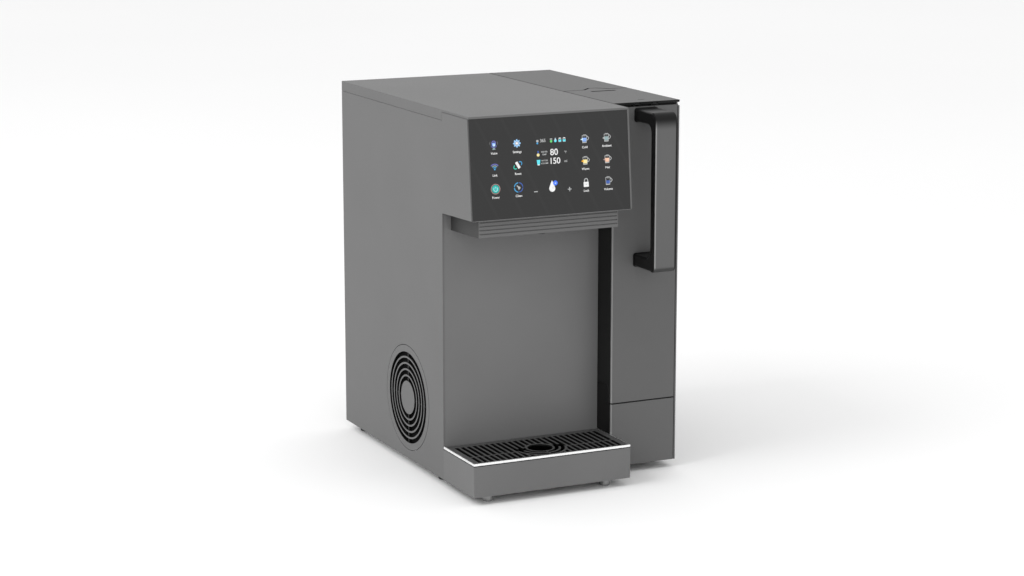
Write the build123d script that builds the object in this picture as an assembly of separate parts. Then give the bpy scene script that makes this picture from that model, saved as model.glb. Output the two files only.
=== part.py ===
"""Countertop hot and cold water dispenser with a pull-out side tank.

Frame, in millimetres: +X to the user's right, the front faces -Y, +Z up.
The origin is on the supporting surface, under the middle of the whole machine.
One STEP per piece is written to parts/.
"""

import os
from math import cos, hypot, pi, radians, sin

from build123d import *

# ---------------------------------------------------------------- driving dimensions
WIDTH = 266.0  # whole case, left to right
DEPTH = 362.0  # back panel to the front of the drip tray
CASE_HEIGHT = 400.0  # case without its feet
FOOT_HEIGHT = 9.0
MAIN_WIDTH = 185.0  # dispensing side; the tank column takes the rest
COLUMN_DEPTH = 283.5  # back panel to the back wall of the cup bay
TANK_DEPTH = 315.5  # back panel to the tank's front plate
LID_SPLIT = 197.5  # back panel to the seam between filter cover and tank lid
SHEET = 2.0  # case panels
GAP = 0.5  # clearance between removable pieces and the case
GLASS = 3.0  # control panel glass
SKIRT = 11.0  # side skirt of the top cover

# ---------------------------------------------------------------- planes of the case
LEFT, RIGHT = -WIDTH / 2, WIDTH / 2
BACK, TRAY_FRONT = DEPTH / 2, -DEPTH / 2
BASE, TOP = FOOT_HEIGHT, FOOT_HEIGHT + CASE_HEIGHT
SPLIT = LEFT + MAIN_WIDTH
COLUMN_FRONT = BACK - COLUMN_DEPTH
REAR = BACK - 5.0  # outer face of the rear panel, set into the case
REAR_INSIDE = REAR - SHEET
TANK_FRONT = BACK - TANK_DEPTH
LID_BACK = BACK - LID_SPLIT
FLOOR = BASE + 1.5  # upper face of the base pan
COVER_THICKNESS = 3.0  # tank lid and filter cover
COVER_UNDER = TOP - COVER_THICKNESS

# head: the glass leans back by about five degrees, and its underside rises to the front
GLASS_TOP = (-169.5, TOP - 2.4)
GLASS_FOOT = (-179.6, BASE + 293.2)
UNDERSIDE_BACK = (COLUMN_FRONT, BASE + 290.5)
GLASS_LENGTH = hypot(GLASS_TOP[0] - GLASS_FOOT[0], GLASS_TOP[1] - GLASS_FOOT[1])
LEAN = (GLASS_TOP[0] - GLASS_FOOT[0]) / (GLASS_TOP[1] - GLASS_FOOT[1])
HEAD_SIDE = 1.5  # visible edge right of the glass

# drip tray
TRAY_TOP = BASE + 37.0
RIM_HEIGHT = 2.5
FLANGE = 1.0  # pan flange that shows as a dark line under the rim
TRAY_WALL_TOP = TRAY_TOP - RIM_HEIGHT - FLANGE
DRAIN = (LEFT + 92.5, BACK - 329.5)  # centre of the round drain, under the nozzle

# side vent
VENT_Y, VENT_Z = BACK - 186.0, BASE + 69.0
VENT_RADIUS = 59.3
SLOT_OUTER, SLOT_INNER, SLOT_COUNT = 51.2, 18.7, 5
SLOT_WIDTH = 4.9
SPOKE_WIDTH = 2.0

# tank
TANK_LEFT, TANK_RIGHT = SPLIT + GAP, RIGHT - SHEET - GAP
PLATE = 2.5  # tank front plate and dock front plate
PLATE_BACK = TANK_FRONT + PLATE
LIP_BACK = BACK - 307.0
TANK_SEAM = BASE + 71.5
TANK_BOTTOM = BASE + 90.0
TANK_WALL = 2.5
TANK_FLOOR = TANK_BOTTOM + TANK_WALL
TANK_BACK = LID_BACK - 2.0
TANK_TOP = COVER_UNDER - 0.4
DOCK = ((TANK_LEFT + TANK_RIGHT) / 2, -48.0)  # axis of the outlet valve
STEM = (DOCK[0], TANK_BACK - 12.0)  # axis of the level float
STEM_RADIUS = 1.8
HINGE_Y, HINGE_Z = TANK_FRONT + 1.7, TOP - 2.8
HINGE_X = (RIGHT - 52.2, RIGHT - 31.0)  # the two hinge knuckles
KNUCKLE_RADIUS, PIN_RADIUS = 1.6, 0.7
LUG_RADIUS, LUG_WIDTH = 1.2, 1.6
PLATE_TOP = TOP - 4.9

# handle
HANDLE_LEFT, HANDLE_RIGHT = RIGHT - 54.5, RIGHT - 28.0
HANDLE_LOW, HANDLE_HIGH = BASE + 222.0, BASE + 393.0
HANDLE_FRONT = TRAY_FRONT
GRIP = 11.5
ARM = 13.5
HANDLE_SCREWS = (HANDLE_LOW + ARM / 2, HANDLE_HIGH - ARM / 2)
HANDLE_SCREW_RADIUS = 2.0


def block(x, y, z):
    """Box between the given pairs of coordinates."""
    size = Box(x[1] - x[0], y[1] - y[0], z[1] - z[0])
    return Pos((x[0] + x[1]) / 2, (y[0] + y[1]) / 2, (z[0] + z[1]) / 2) * size


def profile_x(points, x):
    """Closed outline of (y, z) points, extruded along X between the pair x."""
    face = make_face(Polyline(*points, close=True))
    return extrude(Plane.YZ.offset(x[0]) * face, amount=x[1] - x[0])


def profile_z(points, z):
    """Closed outline of (x, y) points, extruded along Z between the pair z."""
    face = make_face(Polyline(*points, close=True))
    return extrude(Plane.XY.offset(z[0]) * face, amount=z[1] - z[0])


def rod(axis, centre, radius, span):
    """Cylinder along X, Y or Z; centre holds the other two coordinates in order."""
    length = span[1] - span[0]
    middle = (span[0] + span[1]) / 2
    if axis == "X":
        return Pos(middle, *centre) * Rot(0, 90, 0) * Cylinder(radius, length)
    if axis == "Y":
        return Pos(centre[0], middle, centre[1]) * Rot(90, 0, 0) * Cylinder(radius, length)
    return Pos(centre[0], centre[1], middle) * Cylinder(radius, length)


def ring(axis, centre, radii, span):
    """Tube with the pair of radii, along an axis."""
    return rod(axis, centre, radii[1], span) - rod(axis, centre, radii[0], span)


def group(shapes):
    """Separate solids that share one node."""
    solids = [solid for shape in shapes for solid in shape.solids()]
    return Compound(children=solids)


def glass_y(z, inset=0.0):
    """Y of the glass's outer plane at height z, moved back by inset."""
    return GLASS_FOOT[0] + (z - GLASS_FOOT[1]) * LEAN + inset


def underside_z(y):
    """Height of the head's underside at y."""
    rise = (GLASS_FOOT[1] - UNDERSIDE_BACK[1]) / (UNDERSIDE_BACK[0] - GLASS_FOOT[0])
    return UNDERSIDE_BACK[1] + (UNDERSIDE_BACK[0] - y) * rise


# ---------------------------------------------------------------- case panels
def base_pan():
    """Steel floor with a turned-up left flange."""
    inner_left, inner_right = LEFT + SHEET, RIGHT - SHEET
    floor = block((inner_left, inner_right), (COLUMN_FRONT + SHEET, REAR_INSIDE), (BASE, FLOOR))
    flange_top = BASE + 14
    left = block((inner_left, inner_left + 1.2), (COLUMN_FRONT + 8, REAR_INSIDE - 6), (FLOOR, flange_top))
    return floor + left


def left_panel():
    """Side panel of column and head in one sheet, with the round vent opening."""
    top, head_top = TOP - SKIRT - 0.3, TOP - COVER_SHEET - 0.2
    outline = [
        (BACK, BASE),
        (COLUMN_FRONT, BASE),
        UNDERSIDE_BACK,
        (glass_y(GLASS_FOOT[1], GLASS), GLASS_FOOT[1]),
        (glass_y(head_top, GLASS), head_top),
        (COLUMN_FRONT, head_top),
        (COLUMN_FRONT, top),
        (BACK, top),
    ]
    panel = profile_x(outline, (LEFT, LEFT + SHEET))
    return panel - rod("X", (VENT_Y, VENT_Z), VENT_RADIUS, (LEFT - 1, LEFT + SHEET + 1))


def vent_grille():
    """Round grille: concentric slots bridged by four spokes set below the face."""
    face = rod("X", (VENT_Y, VENT_Z), VENT_RADIUS - 0.6, (LEFT, LEFT + SHEET))
    pitch = (SLOT_OUTER - SLOT_INNER - SLOT_WIDTH) / (SLOT_COUNT - 1)
    for n in range(SLOT_COUNT):
        inner = SLOT_INNER + n * pitch
        face -= ring("X", (VENT_Y, VENT_Z), (inner, inner + SLOT_WIDTH), (LEFT - 1, LEFT + SHEET + 1))
    back = (LEFT + 0.9, LEFT + SHEET + 1.2)
    reach = SLOT_OUTER + 3
    half = SPOKE_WIDTH / 2
    upright = block(back, (VENT_Y - half, VENT_Y + half), (VENT_Z - reach, VENT_Z + reach))
    level = block(back, (VENT_Y - reach, VENT_Y + reach), (VENT_Z - half, VENT_Z + half))
    return face + upright + level


COVER_SHEET = 2.2


def top_cover():
    """Main cover with a left skirt along the column; the front edge closes over the glass."""
    thickness = COVER_SHEET
    edge = glass_y(TOP - thickness)
    outline = [(BACK, TOP - thickness), (edge, TOP - thickness), (glass_y(TOP), TOP), (BACK, TOP)]
    cover = profile_x(outline, (LEFT, SPLIT - 0.6))
    skirt = (TOP - SKIRT, TOP - thickness)
    cover += block((LEFT, LEFT + SHEET), (COLUMN_FRONT + 0.3, BACK), skirt)
    front_edge = cover.edges().filter_by(Axis.X).sort_by(Axis.Y)[:2].sort_by(Axis.Z)[-1:]
    left_edge = cover.edges().filter_by(Axis.Y).group_by(Axis.Z)[-1].sort_by(Axis.X)[:1]
    return fillet(front_edge + left_edge, 0.8)


def bay_panel():
    """Back wall of the cup bay."""
    z = (BASE, underside_z(COLUMN_FRONT))
    return block((LEFT + SHEET, SPLIT), (COLUMN_FRONT, COLUMN_FRONT + SHEET), z)


def partition_wall():
    """Wall between the works and the tank column, with a notch for the water line."""
    wall = block((SPLIT - SHEET, SPLIT), (COLUMN_FRONT + SHEET, REAR_INSIDE), (FLOOR, TOP - 2.4))
    return wall - rod("X", (-30, 60), 8, (SPLIT - 5, SPLIT + 5))


def head_side():
    """Right wall of the head, which stands proud of the tank's front."""
    low_back, low_front = underside_z(COLUMN_FRONT), GLASS_FOOT[1]
    top = TOP - 2.4
    outline = [
        (COLUMN_FRONT, low_back),
        (glass_y(low_front), low_front),
        (glass_y(top), top),
        (COLUMN_FRONT, top),
    ]
    wall = profile_x(outline, (SPLIT - HEAD_SIDE, SPLIT))
    corner = wall.edges().filter_by(Axis.X).sort_by(Axis.Y)[0]
    return fillet(corner, 1.8)


def head_underside():
    """Sloping floor of the head, open above the dispensing block."""
    inner_left, inner_right = LEFT + SHEET, SPLIT - HEAD_SIDE
    back, front = COLUMN_FRONT, glass_y(GLASS_FOOT[1], GLASS)
    outline = [
        (back, underside_z(back)),
        (front, underside_z(front)),
        (glass_y(underside_z(front) + SHEET, GLASS), underside_z(front) + SHEET),
        (back, underside_z(back) + SHEET),
    ]
    plate = profile_x(outline, (inner_left, inner_right))
    window = block((LEFT + 24, LEFT + 158), (-162, COLUMN_FRONT - 12), (280, 320))
    return plate - window


def panel_carrier():
    """Frame behind the glass that holds the display and touch boards."""
    low, high = GLASS_FOOT[1] + 3.2, TOP - 13
    deep = GLASS + 4
    outline = [
        (glass_y(low, GLASS), low),
        (glass_y(high, GLASS), high),
        (glass_y(high, deep), high),
        (glass_y(low, deep), low),
    ]
    frame = profile_x(outline, (LEFT + SHEET, SPLIT - HEAD_SIDE))
    window_low, window_high = low + 8, high - 6
    window = [
        (glass_y(window_low, GLASS - 1), window_low),
        (glass_y(window_high, GLASS - 1), window_high),
        (glass_y(window_high, deep + 1), window_high),
        (glass_y(window_low, deep + 1), window_low),
    ]
    return frame - profile_x(window, (LEFT + 12, SPLIT - 12))


def control_glass():
    """Tinted touch glass over the whole front of the head."""
    low, high = GLASS_FOOT[1], GLASS_TOP[1] + 0.1
    outline = [
        (glass_y(low), low),
        (glass_y(high), high),
        (glass_y(high, GLASS), high),
        (glass_y(low, GLASS), low),
    ]
    return profile_x(outline, (LEFT, SPLIT - HEAD_SIDE))


def touch_board():
    """Circuit board with the twelve touch pads, screwed to the carrier."""
    low, high = GLASS_FOOT[1] + 6, TOP - 16
    near, far = GLASS + 4.2, GLASS + 5.8
    outline = [
        (glass_y(low, near), low),
        (glass_y(high, near), high),
        (glass_y(high, far), high),
        (glass_y(low, far), low),
    ]
    return profile_x(outline, (LEFT + 8, SPLIT - 8))


def display_module():
    """Segment display in the middle of the board, up against the glass."""
    low, high = GLASS_FOOT[1] + 45, GLASS_FOOT[1] + 84
    near, far = GLASS + 0.4, GLASS + 4.0
    outline = [
        (glass_y(low, near), low),
        (glass_y(high, near), high),
        (glass_y(high, far), high),
        (glass_y(low, far), low),
    ]
    return profile_x(outline, (LEFT + 70, LEFT + 114))


BLOCK_X = (LEFT + 10.0, LEFT + 172.0)
BLOCK_DEPTH = 69.5
BLOCK_DROP = 18.8
RIB_COUNT, RIB_PITCH, RIB_GROOVE = 4, 4.1, 1.1


def dispensing_block():
    """Ribbed block under the head that holds the nozzle."""
    front = COLUMN_FRONT - BLOCK_DEPTH
    slope = underside_z(front) - underside_z(COLUMN_FRONT)
    low_back = underside_z(COLUMN_FRONT) - BLOCK_DROP
    low_front = low_back + slope
    outline = [
        (COLUMN_FRONT, low_back),
        (front, low_front),
        (front, underside_z(front)),
        (COLUMN_FRONT, underside_z(COLUMN_FRONT)),
    ]
    body = profile_x(outline, BLOCK_X)
    hollow_top = [
        (COLUMN_FRONT - 3, low_back + 3),
        (front + 5, low_front + 3),
        (front + 5, 330),
        (COLUMN_FRONT - 3, 330),
    ]
    body -= profile_x(hollow_top, (BLOCK_X[0] + 3, BLOCK_X[1] - 3))
    for n in range(RIB_COUNT):
        z = low_front + 3.4 + n * RIB_PITCH
        span = (BLOCK_X[0] + 1.2, BLOCK_X[1] - 1.2)
        body -= block(span, (front - 1, front + 0.9), (z, z + RIB_GROOVE))
    return body - rod("Z", DRAIN, 8.05, (low_back - 5, low_front + 10))


NOZZLE_TIP = BASE + 270.0


def nozzle():
    """Outlet: a flanged bush with a short spout."""
    low = underside_z(DRAIN[1]) - BLOCK_DROP
    body = rod("Z", DRAIN, 8.0, (low, low + 9))
    body += rod("Z", DRAIN, 10.5, (low + 4, low + 6.5))
    body += rod("Z", DRAIN, 5.6, (NOZZLE_TIP, low + 1))
    return body - rod("Z", DRAIN, 4.1, (NOZZLE_TIP - 1, low + 12))


def right_panel():
    """Right side of filter bay and tank bay."""
    panel = block((RIGHT - SHEET, RIGHT), (TANK_FRONT, BACK), (BASE, COVER_UNDER - 0.3))
    front_edge = panel.edges().filter_by(Axis.Z).group_by(Axis.Y)[0].sort_by(Axis.X)[-1:]
    swing = rod("X", (HINGE_Y, HINGE_Z), 3.7, (RIGHT - SHEET - 1, RIGHT + 1))
    return fillet(front_edge, 0.8) - swing


def filter_bay_wall():
    """Wall between the tank bay and the filter bay."""
    y = (TANK_BACK + GAP, TANK_BACK + GAP + 1.5)
    return block((SPLIT, RIGHT - SHEET), y, (FLOOR, COVER_UNDER - 0.4))


def rear_panel():
    """Back panel with louvres and the cut-outs of inlet, switch and drain."""
    panel = block((LEFT + SHEET, RIGHT - SHEET), (REAR_INSIDE, REAR), (BASE, TOP - 3.4))
    through = (REAR_INSIDE - 1, REAR + 1)
    for column in LOUVRE_COLUMNS:
        for row in range(LOUVRE_ROWS):
            z = LOUVRE_LOW + row * LOUVRE_PITCH
            louvre = block((column - 20, column + 20), through, (z, z + LOUVRE_GAP))
            panel -= fillet(louvre.edges().filter_by(Axis.Y), LOUVRE_GAP / 2 - 0.05)
    panel -= block(INLET_X, through, INLET_Z)
    panel -= block(SWITCH_X, through, SWITCH_Z)
    for x, z in SCREW_PLACES:
        panel -= rod("Y", (x, z), SCREW_RADIUS + 0.05, through)
    return panel - rod("Y", DRAIN_PORT, 9.05, through)


LOUVRE_COLUMNS = (-70.0, -20.0)
LOUVRE_LOW, LOUVRE_PITCH, LOUVRE_ROWS, LOUVRE_GAP = 250.0, 11.0, 9, 4.0
SCREW_RADIUS = 1.5
INLET_X, INLET_Z = (-112.0, -84.0), (40.0, 60.0)
SWITCH_X, SWITCH_Z = (-72.0, -52.0), (43.0, 57.0)
DRAIN_PORT = (92.0, 32.0)
SCREW_PLACES = [(x, z) for x in (LEFT + 12, 0, RIGHT - 12) for z in (BASE + 12, TOP - 14)]


def rear_screws():
    """Six pan-head screws of the back panel."""
    made = []
    for x, z in SCREW_PLACES:
        head = rod("Y", (x, z), 3.0, (REAR, REAR + 1.6))
        head -= block((x - 2.2, x + 2.2), (REAR + 0.8, REAR + 2), (z - 0.4, z + 0.4))
        head -= block((x - 0.4, x + 0.4), (REAR + 0.8, REAR + 2), (z - 2.2, z + 2.2))
        made.append(head + rod("Y", (x, z), SCREW_RADIUS, (REAR - 8, REAR)))
    return group(made)


def power_inlet():
    """Appliance inlet with three flat pins in a recessed socket."""
    face = REAR + 1.5
    x, z = INLET_X, INLET_Z
    body = block((x[0] + 0.1, x[1] - 0.1), (REAR - 18, REAR), (z[0] + 0.1, z[1] - 0.1))
    body += block((x[0] - 3, x[1] + 3), (REAR, face), (z[0] - 3, z[1] + 3))
    body -= block((x[0] + 2, x[1] - 2), (REAR - 15, face + 1), (z[0] + 2, z[1] - 2))
    for dx, dz in ((-7, -1.5), (0, 2.5), (7, -1.5)):
        pin_x, pin_z = sum(x) / 2 + dx, sum(z) / 2 + dz
        body += block((pin_x - 1, pin_x + 1), (REAR - 15.5, REAR - 5), (pin_z - 2, pin_z + 2))
    return body


def power_switch_frame():
    """Snap-in frame of the rocker switch."""
    x, z = SWITCH_X, SWITCH_Z
    body = block((x[0] + 0.1, x[1] - 0.1), (REAR - 14, REAR), (z[0] + 0.1, z[1] - 0.1))
    body += block((x[0] - 2, x[1] + 2), (REAR, REAR + 1.4), (z[0] - 2, z[1] + 2))
    body -= block((x[0] + 1.5, x[1] - 1.5), (REAR - 12, REAR + 3), (z[0] + 1.5, z[1] - 1.5))
    return body - rod("Z", ROCKER_PIN, 1.05, (z[0] + 0.5, z[1] - 0.5))


ROCKER_PIN = ((SWITCH_X[0] + SWITCH_X[1]) / 2, REAR - 5.0)
ROCKER_TILT = 10.0  # either way from level


def power_rocker():
    """Rocker on a vertical pin, at rest tilted to one side."""
    half = 7.2
    inner = (SWITCH_Z[0] + 1.9, SWITCH_Z[1] - 1.9)
    outline = [(-half, -1.0), (half, -1.0), (half, 5.5), (0, 4.3), (-half, 5.5)]
    body = Pos(*ROCKER_PIN, 0) * Rot(0, 0, -ROCKER_TILT) * profile_z(outline, inner)
    return body + rod("Z", ROCKER_PIN, 1.0, (SWITCH_Z[0] + 0.7, SWITCH_Z[1] - 0.7))


def drain_port():
    """Drain stub behind the filter bay."""
    body = rod("Y", DRAIN_PORT, 9.0, (REAR - 14, REAR)) + rod("Y", DRAIN_PORT, 12.0, (REAR, REAR + 2))
    return body - rod("Y", DRAIN_PORT, 6.0, (REAR - 15, REAR + 3))


def drain_plug():
    """Fluted plug in the drain stub."""
    grip = rod("Y", DRAIN_PORT, 8.0, (REAR + 2, BACK))
    for n in range(8):
        angle = n * pi / 4
        x, z = DRAIN_PORT[0] + 8.6 * cos(angle), DRAIN_PORT[1] + 8.6 * sin(angle)
        grip -= rod("Y", (x, z), 1.6, (REAR + 1, BACK + 1))
    return grip + rod("Y", DRAIN_PORT, 5.95, (REAR - 10, REAR + 2.5))


def foot(x, y, radius, top):
    """Round foot with a rounded lower edge."""
    pad = rod("Z", (x, y), radius, (0, top))
    low_edge = pad.edges().filter_by(GeomType.CIRCLE).sort_by(Axis.Z)[0]
    return fillet(low_edge, 1.2)


def case_feet():
    """Four rubber feet under the case."""
    places = [(x, y) for x in (LEFT + 17, RIGHT - 17) for y in (BACK - 24, BACK - 250)]
    return group([foot(x, y, 8.0, BASE) for x, y in places])


def tray_feet():
    """Two slim feet under the front of the tray."""
    return group([foot(LEFT + 92.5 + side * 69.7, BACK - 346, 5.8, BASE) for side in (-1, 1)])


# ---------------------------------------------------------------- tray
def tray_housing():
    """Fixed box in front of the column that carries the drip pan."""
    outer = block((LEFT, SPLIT), (TRAY_FRONT, COLUMN_FRONT), (BASE, TRAY_WALL_TOP))
    edges = outer.edges().filter_by(Axis.Z).group_by(Axis.Y)[0]
    outer = fillet(edges, 0.8)
    y = (TRAY_FRONT + SHEET, COLUMN_FRONT - SHEET)
    return outer - block((LEFT + SHEET, SPLIT - SHEET), y, (BASE + SHEET, TOP))


PAN_FLOOR = BASE + SHEET + 1.9
POST_RADIUS = 1.8


def drip_pan():
    """Lift-out pan with a flange over the housing's wall and a post for the float."""
    clear = SHEET + GAP
    floor = BASE + SHEET + 0.3
    flange_low, flange_top = TRAY_WALL_TOP, TRAY_TOP - RIM_HEIGHT
    y = (TRAY_FRONT + clear, COLUMN_FRONT - clear)
    pan = block((LEFT + clear, SPLIT - clear), y, (floor, flange_top))
    pan = fillet(pan.edges().filter_by(Axis.Z), 4)
    pan += block((LEFT + 0.6, SPLIT - 0.6), (TRAY_FRONT + 0.6, COLUMN_FRONT - 0.4), (flange_low, flange_top))
    wall = clear + 1.6
    y = (TRAY_FRONT + wall, COLUMN_FRONT - wall)
    hollow = block((LEFT + wall, SPLIT - wall), y, (PAN_FLOOR, TOP))
    pan -= fillet(hollow.edges().filter_by(Axis.Z), 3)
    return pan + rod("Z", DRAIN, POST_RADIUS, (floor, PAN_FLOOR + 24))


def tray_rim():
    """Polished frame round the front and sides of the grille."""
    z = (TRAY_TOP - RIM_HEIGHT, TRAY_TOP)
    outer = block((LEFT, SPLIT), (TRAY_FRONT, COLUMN_FRONT - 0.4), z)
    outer = fillet(outer.edges().filter_by(Axis.Z).group_by(Axis.Y)[0], 0.8)
    inner = block((LEFT + 1.6, SPLIT - 1.6), (TRAY_FRONT + 1.6, COLUMN_FRONT), (0, TOP))
    return outer - inner


GRILLE_Z = (TRAY_TOP - RIM_HEIGHT, TRAY_TOP - 0.5)
BAR_PITCH, BAR_SLOT, BAR_COUNT = 6.87, 4.2, 25
BRIDGE_Y = BACK - 334.8
SLOT_BACK, SLOT_FRONT = BACK - 294.0, BACK - 357.0
DRAIN_RADIUS = 13.7


def drip_grille():
    """Slotted plate with a round drain and two arc slots in front of it."""
    inner = 1.6
    plate = block((LEFT + inner, SPLIT - inner), (TRAY_FRONT + inner, COLUMN_FRONT - 2), GRILLE_Z)
    through = (GRILLE_Z[0] - 1, GRILLE_Z[1] + 1)
    first = DRAIN[0] - BAR_PITCH * (BAR_COUNT - 1) / 2
    slots = []
    for n in range(BAR_COUNT):
        x = first + n * BAR_PITCH
        span = (x - BAR_SLOT / 2, x + BAR_SLOT / 2)
        slots.append(block(span, (BRIDGE_Y + 1.0, SLOT_BACK), through))
        slots.append(block(span, (SLOT_FRONT, BRIDGE_Y - 1.0), through))
    back_half = block((DRAIN[0] - 40, DRAIN[0] + 40), (BRIDGE_Y + 1.0, BACK), through)
    front_half = block((DRAIN[0] - 40, DRAIN[0] + 40), (TRAY_FRONT, BRIDGE_Y + 1.0), through)
    keep_back = rod("Z", DRAIN, DRAIN_RADIUS + 3, through) & back_half
    keep_front = rod("Z", DRAIN, DRAIN_RADIUS + 15.6, through) & front_half
    for slot in slots:
        for piece in (slot - keep_back - keep_front).solids():
            if piece.bounding_box().size.Y > 1.5:
                plate -= piece
    arcs_front = block((DRAIN[0] - 40, DRAIN[0] + 40), (TRAY_FRONT + 4, DRAIN[1] + 5), through)
    for inner_radius in (DRAIN_RADIUS + 2.2, DRAIN_RADIUS + 8.8):
        arc = ring("Z", DRAIN, (inner_radius, inner_radius + 4.2), through) & arcs_front
        arc -= block((DRAIN[0] - 0.9, DRAIN[0] + 0.9), (TRAY_FRONT, DRAIN[1]), through)
        plate -= arc
    return plate - rod("Z", DRAIN, DRAIN_RADIUS, through)


def tray_float():
    """Ring float that rises on the pan's post, under the drain, as the pan fills."""
    float_ring = ring("Z", DRAIN, (POST_RADIUS + 0.4, 9.0), (PAN_FLOOR + 0.3, PAN_FLOOR + 10))
    return fillet(float_ring.edges().filter_by(GeomType.CIRCLE).group_by(Axis.Z)[-1], 1.0)


# ---------------------------------------------------------------- tank dock and tank
def dock_front():
    """Painted plate below the tank's front."""
    plate = block((TANK_LEFT, TANK_RIGHT), (TANK_FRONT, PLATE_BACK), (BASE, TANK_SEAM - 1.5))
    return fillet(plate.edges().filter_by(Axis.Z).group_by(Axis.Y)[0], 1.0)


def tank_dock():
    """Black plinth that the tank stands on, with the docking well."""
    outline = [
        (TANK_BACK, FLOOR),
        (COLUMN_FRONT + SHEET, FLOOR),
        (COLUMN_FRONT + SHEET, BASE),
        (PLATE_BACK, BASE),
        (PLATE_BACK, TANK_SEAM - 0.6),
        (LIP_BACK + GAP, TANK_SEAM - 0.6),
        (LIP_BACK + GAP, TANK_BOTTOM - 0.3),
        (TANK_BACK, TANK_BOTTOM - 0.3),
    ]
    body = profile_x(outline, (TANK_LEFT, TANK_RIGHT))
    body -= block((TANK_LEFT + 3, TANK_RIGHT - 3), (LIP_BACK + 4, TANK_BACK - 3), (0, TANK_BOTTOM - 4))
    return body - rod("Z", DOCK, 9.0, (0, TOP))




def dock_valve():
    """Socket that opens the tank's outlet valve."""
    seat = ring("Z", DOCK, (5.0, 8.9), (TANK_BOTTOM - 22, TANK_BOTTOM - 0.4))
    spigot = ring("Z", DOCK, (2.0, 3.2), (TANK_BOTTOM - 34, TANK_BOTTOM - 1.5))
    web = rod("Z", DOCK, 8.9, (TANK_BOTTOM - 26, TANK_BOTTOM - 22)) - rod("Z", DOCK, 2.0, (0, TOP))
    return seat + spigot + web


def tank_body():
    """Moulded water tank, open at the top, with a front lip and a rod for the float."""
    outline = [
        (TANK_BACK, TANK_BOTTOM),
        (LIP_BACK, TANK_BOTTOM),
        (LIP_BACK, TANK_SEAM),
        (PLATE_BACK, TANK_SEAM),
        (PLATE_BACK, TANK_TOP),
        (TANK_BACK, TANK_TOP),
    ]
    body = profile_x(outline, (TANK_LEFT, TANK_RIGHT))
    hollow = block(
        (TANK_LEFT + TANK_WALL, TANK_RIGHT - TANK_WALL),
        (PLATE_BACK + TANK_WALL, TANK_BACK - TANK_WALL),
        (TANK_FLOOR, TOP + 5),
    )
    body -= fillet(hollow.edges().filter_by(Axis.Z), 1.5)
    hinge_step = (PLATE_BACK - 1, HINGE_Y + KNUCKLE_RADIUS + 0.3)
    body -= block((TANK_LEFT - 1, TANK_RIGHT + 1), hinge_step, (PLATE_TOP - 0.4, TOP))
    body += rod("Z", STEM, STEM_RADIUS, (TANK_FLOOR - 1, TANK_FLOOR + 38))
    body += rod("Z", STEM, STEM_RADIUS + 1.4, (TANK_FLOOR + 38, TANK_FLOOR + 40))
    return body - rod("Z", DOCK, 7.0, (TANK_BOTTOM - 1, TANK_BOTTOM + 4))


def tank_plate():
    """Painted front plate of the tank, with two pairs of lugs for the lid's knuckles."""
    plate = block((TANK_LEFT, TANK_RIGHT), (TANK_FRONT, PLATE_BACK), (TANK_SEAM, PLATE_TOP))
    plate = fillet(plate.edges().filter_by(Axis.Z).group_by(Axis.Y)[0], 1.0)
    for x in HINGE_X:
        for span in lug_spans(x):
            lug = rod("X", (HINGE_Y, HINGE_Z), LUG_RADIUS, span)
            lug += block(span, (HINGE_Y - LUG_RADIUS, PLATE_BACK), (PLATE_TOP - 1, HINGE_Z))
            plate += lug - rod("X", (HINGE_Y, HINGE_Z), PIN_RADIUS, (x - 9, x + 9))
    middle = (HANDLE_LEFT + HANDLE_RIGHT) / 2
    for z in HANDLE_SCREWS:
        plate -= rod("Y", (middle, z), HANDLE_SCREW_RADIUS, (TANK_FRONT - 1, PLATE_BACK + 1))
    return plate


def lug_spans(x):
    """X ranges of the lugs either side of the knuckle at x."""
    near, far = KNUCKLE_HALF + 0.3, KNUCKLE_HALF + 0.3 + LUG_WIDTH
    return [(x - far, x - near), (x + near, x + far)]


KNUCKLE_HALF = 2.2


def hinge_pins():
    """Two short pins, fixed in the plate's lugs, that the lid turns on."""
    reach = KNUCKLE_HALF + 0.3 + LUG_WIDTH
    return group([rod("X", (HINGE_Y, HINGE_Z), PIN_RADIUS, (x - reach, x + reach)) for x in HINGE_X])


SEAT_TOP = TANK_BOTTOM + 5.0
CAGE_TOP = TANK_BOTTOM + 16.0


def outlet_valve():
    """Valve cage in the tank's floor, with a seat below and a guide hole above."""
    body = ring("Z", DOCK, (3.4, 6.95), (TANK_BOTTOM, TANK_FLOOR + 1))
    body += ring("Z", DOCK, (3.4, 9.5), (TANK_FLOOR, SEAT_TOP))
    cage = ring("Z", DOCK, (7.5, 9.5), (SEAT_TOP, CAGE_TOP - 2))
    windows = (SEAT_TOP + 1, CAGE_TOP - 3)
    cage -= block((DOCK[0] - 12, DOCK[0] + 12), (DOCK[1] - 3, DOCK[1] + 3), windows)
    cage -= block((DOCK[0] - 3, DOCK[0] + 3), (DOCK[1] - 12, DOCK[1] + 12), windows)
    return body + cage + ring("Z", DOCK, (2.0, 9.5), (CAGE_TOP - 2, CAGE_TOP))


def outlet_poppet():
    """Sprung poppet: the dock's spigot lifts it off its seat."""
    body = rod("Z", DOCK, 1.7, (TANK_BOTTOM + 0.3, CAGE_TOP + 1.5))
    return body + rod("Z", DOCK, 5.5, (SEAT_TOP + 0.1, SEAT_TOP + 3))


def level_float():
    """Ring float that slides on the tank's rod."""
    return ring("Z", STEM, (STEM_RADIUS + 0.5, 8.0), (TANK_FLOOR + 0.2, TANK_FLOOR + 18))


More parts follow.
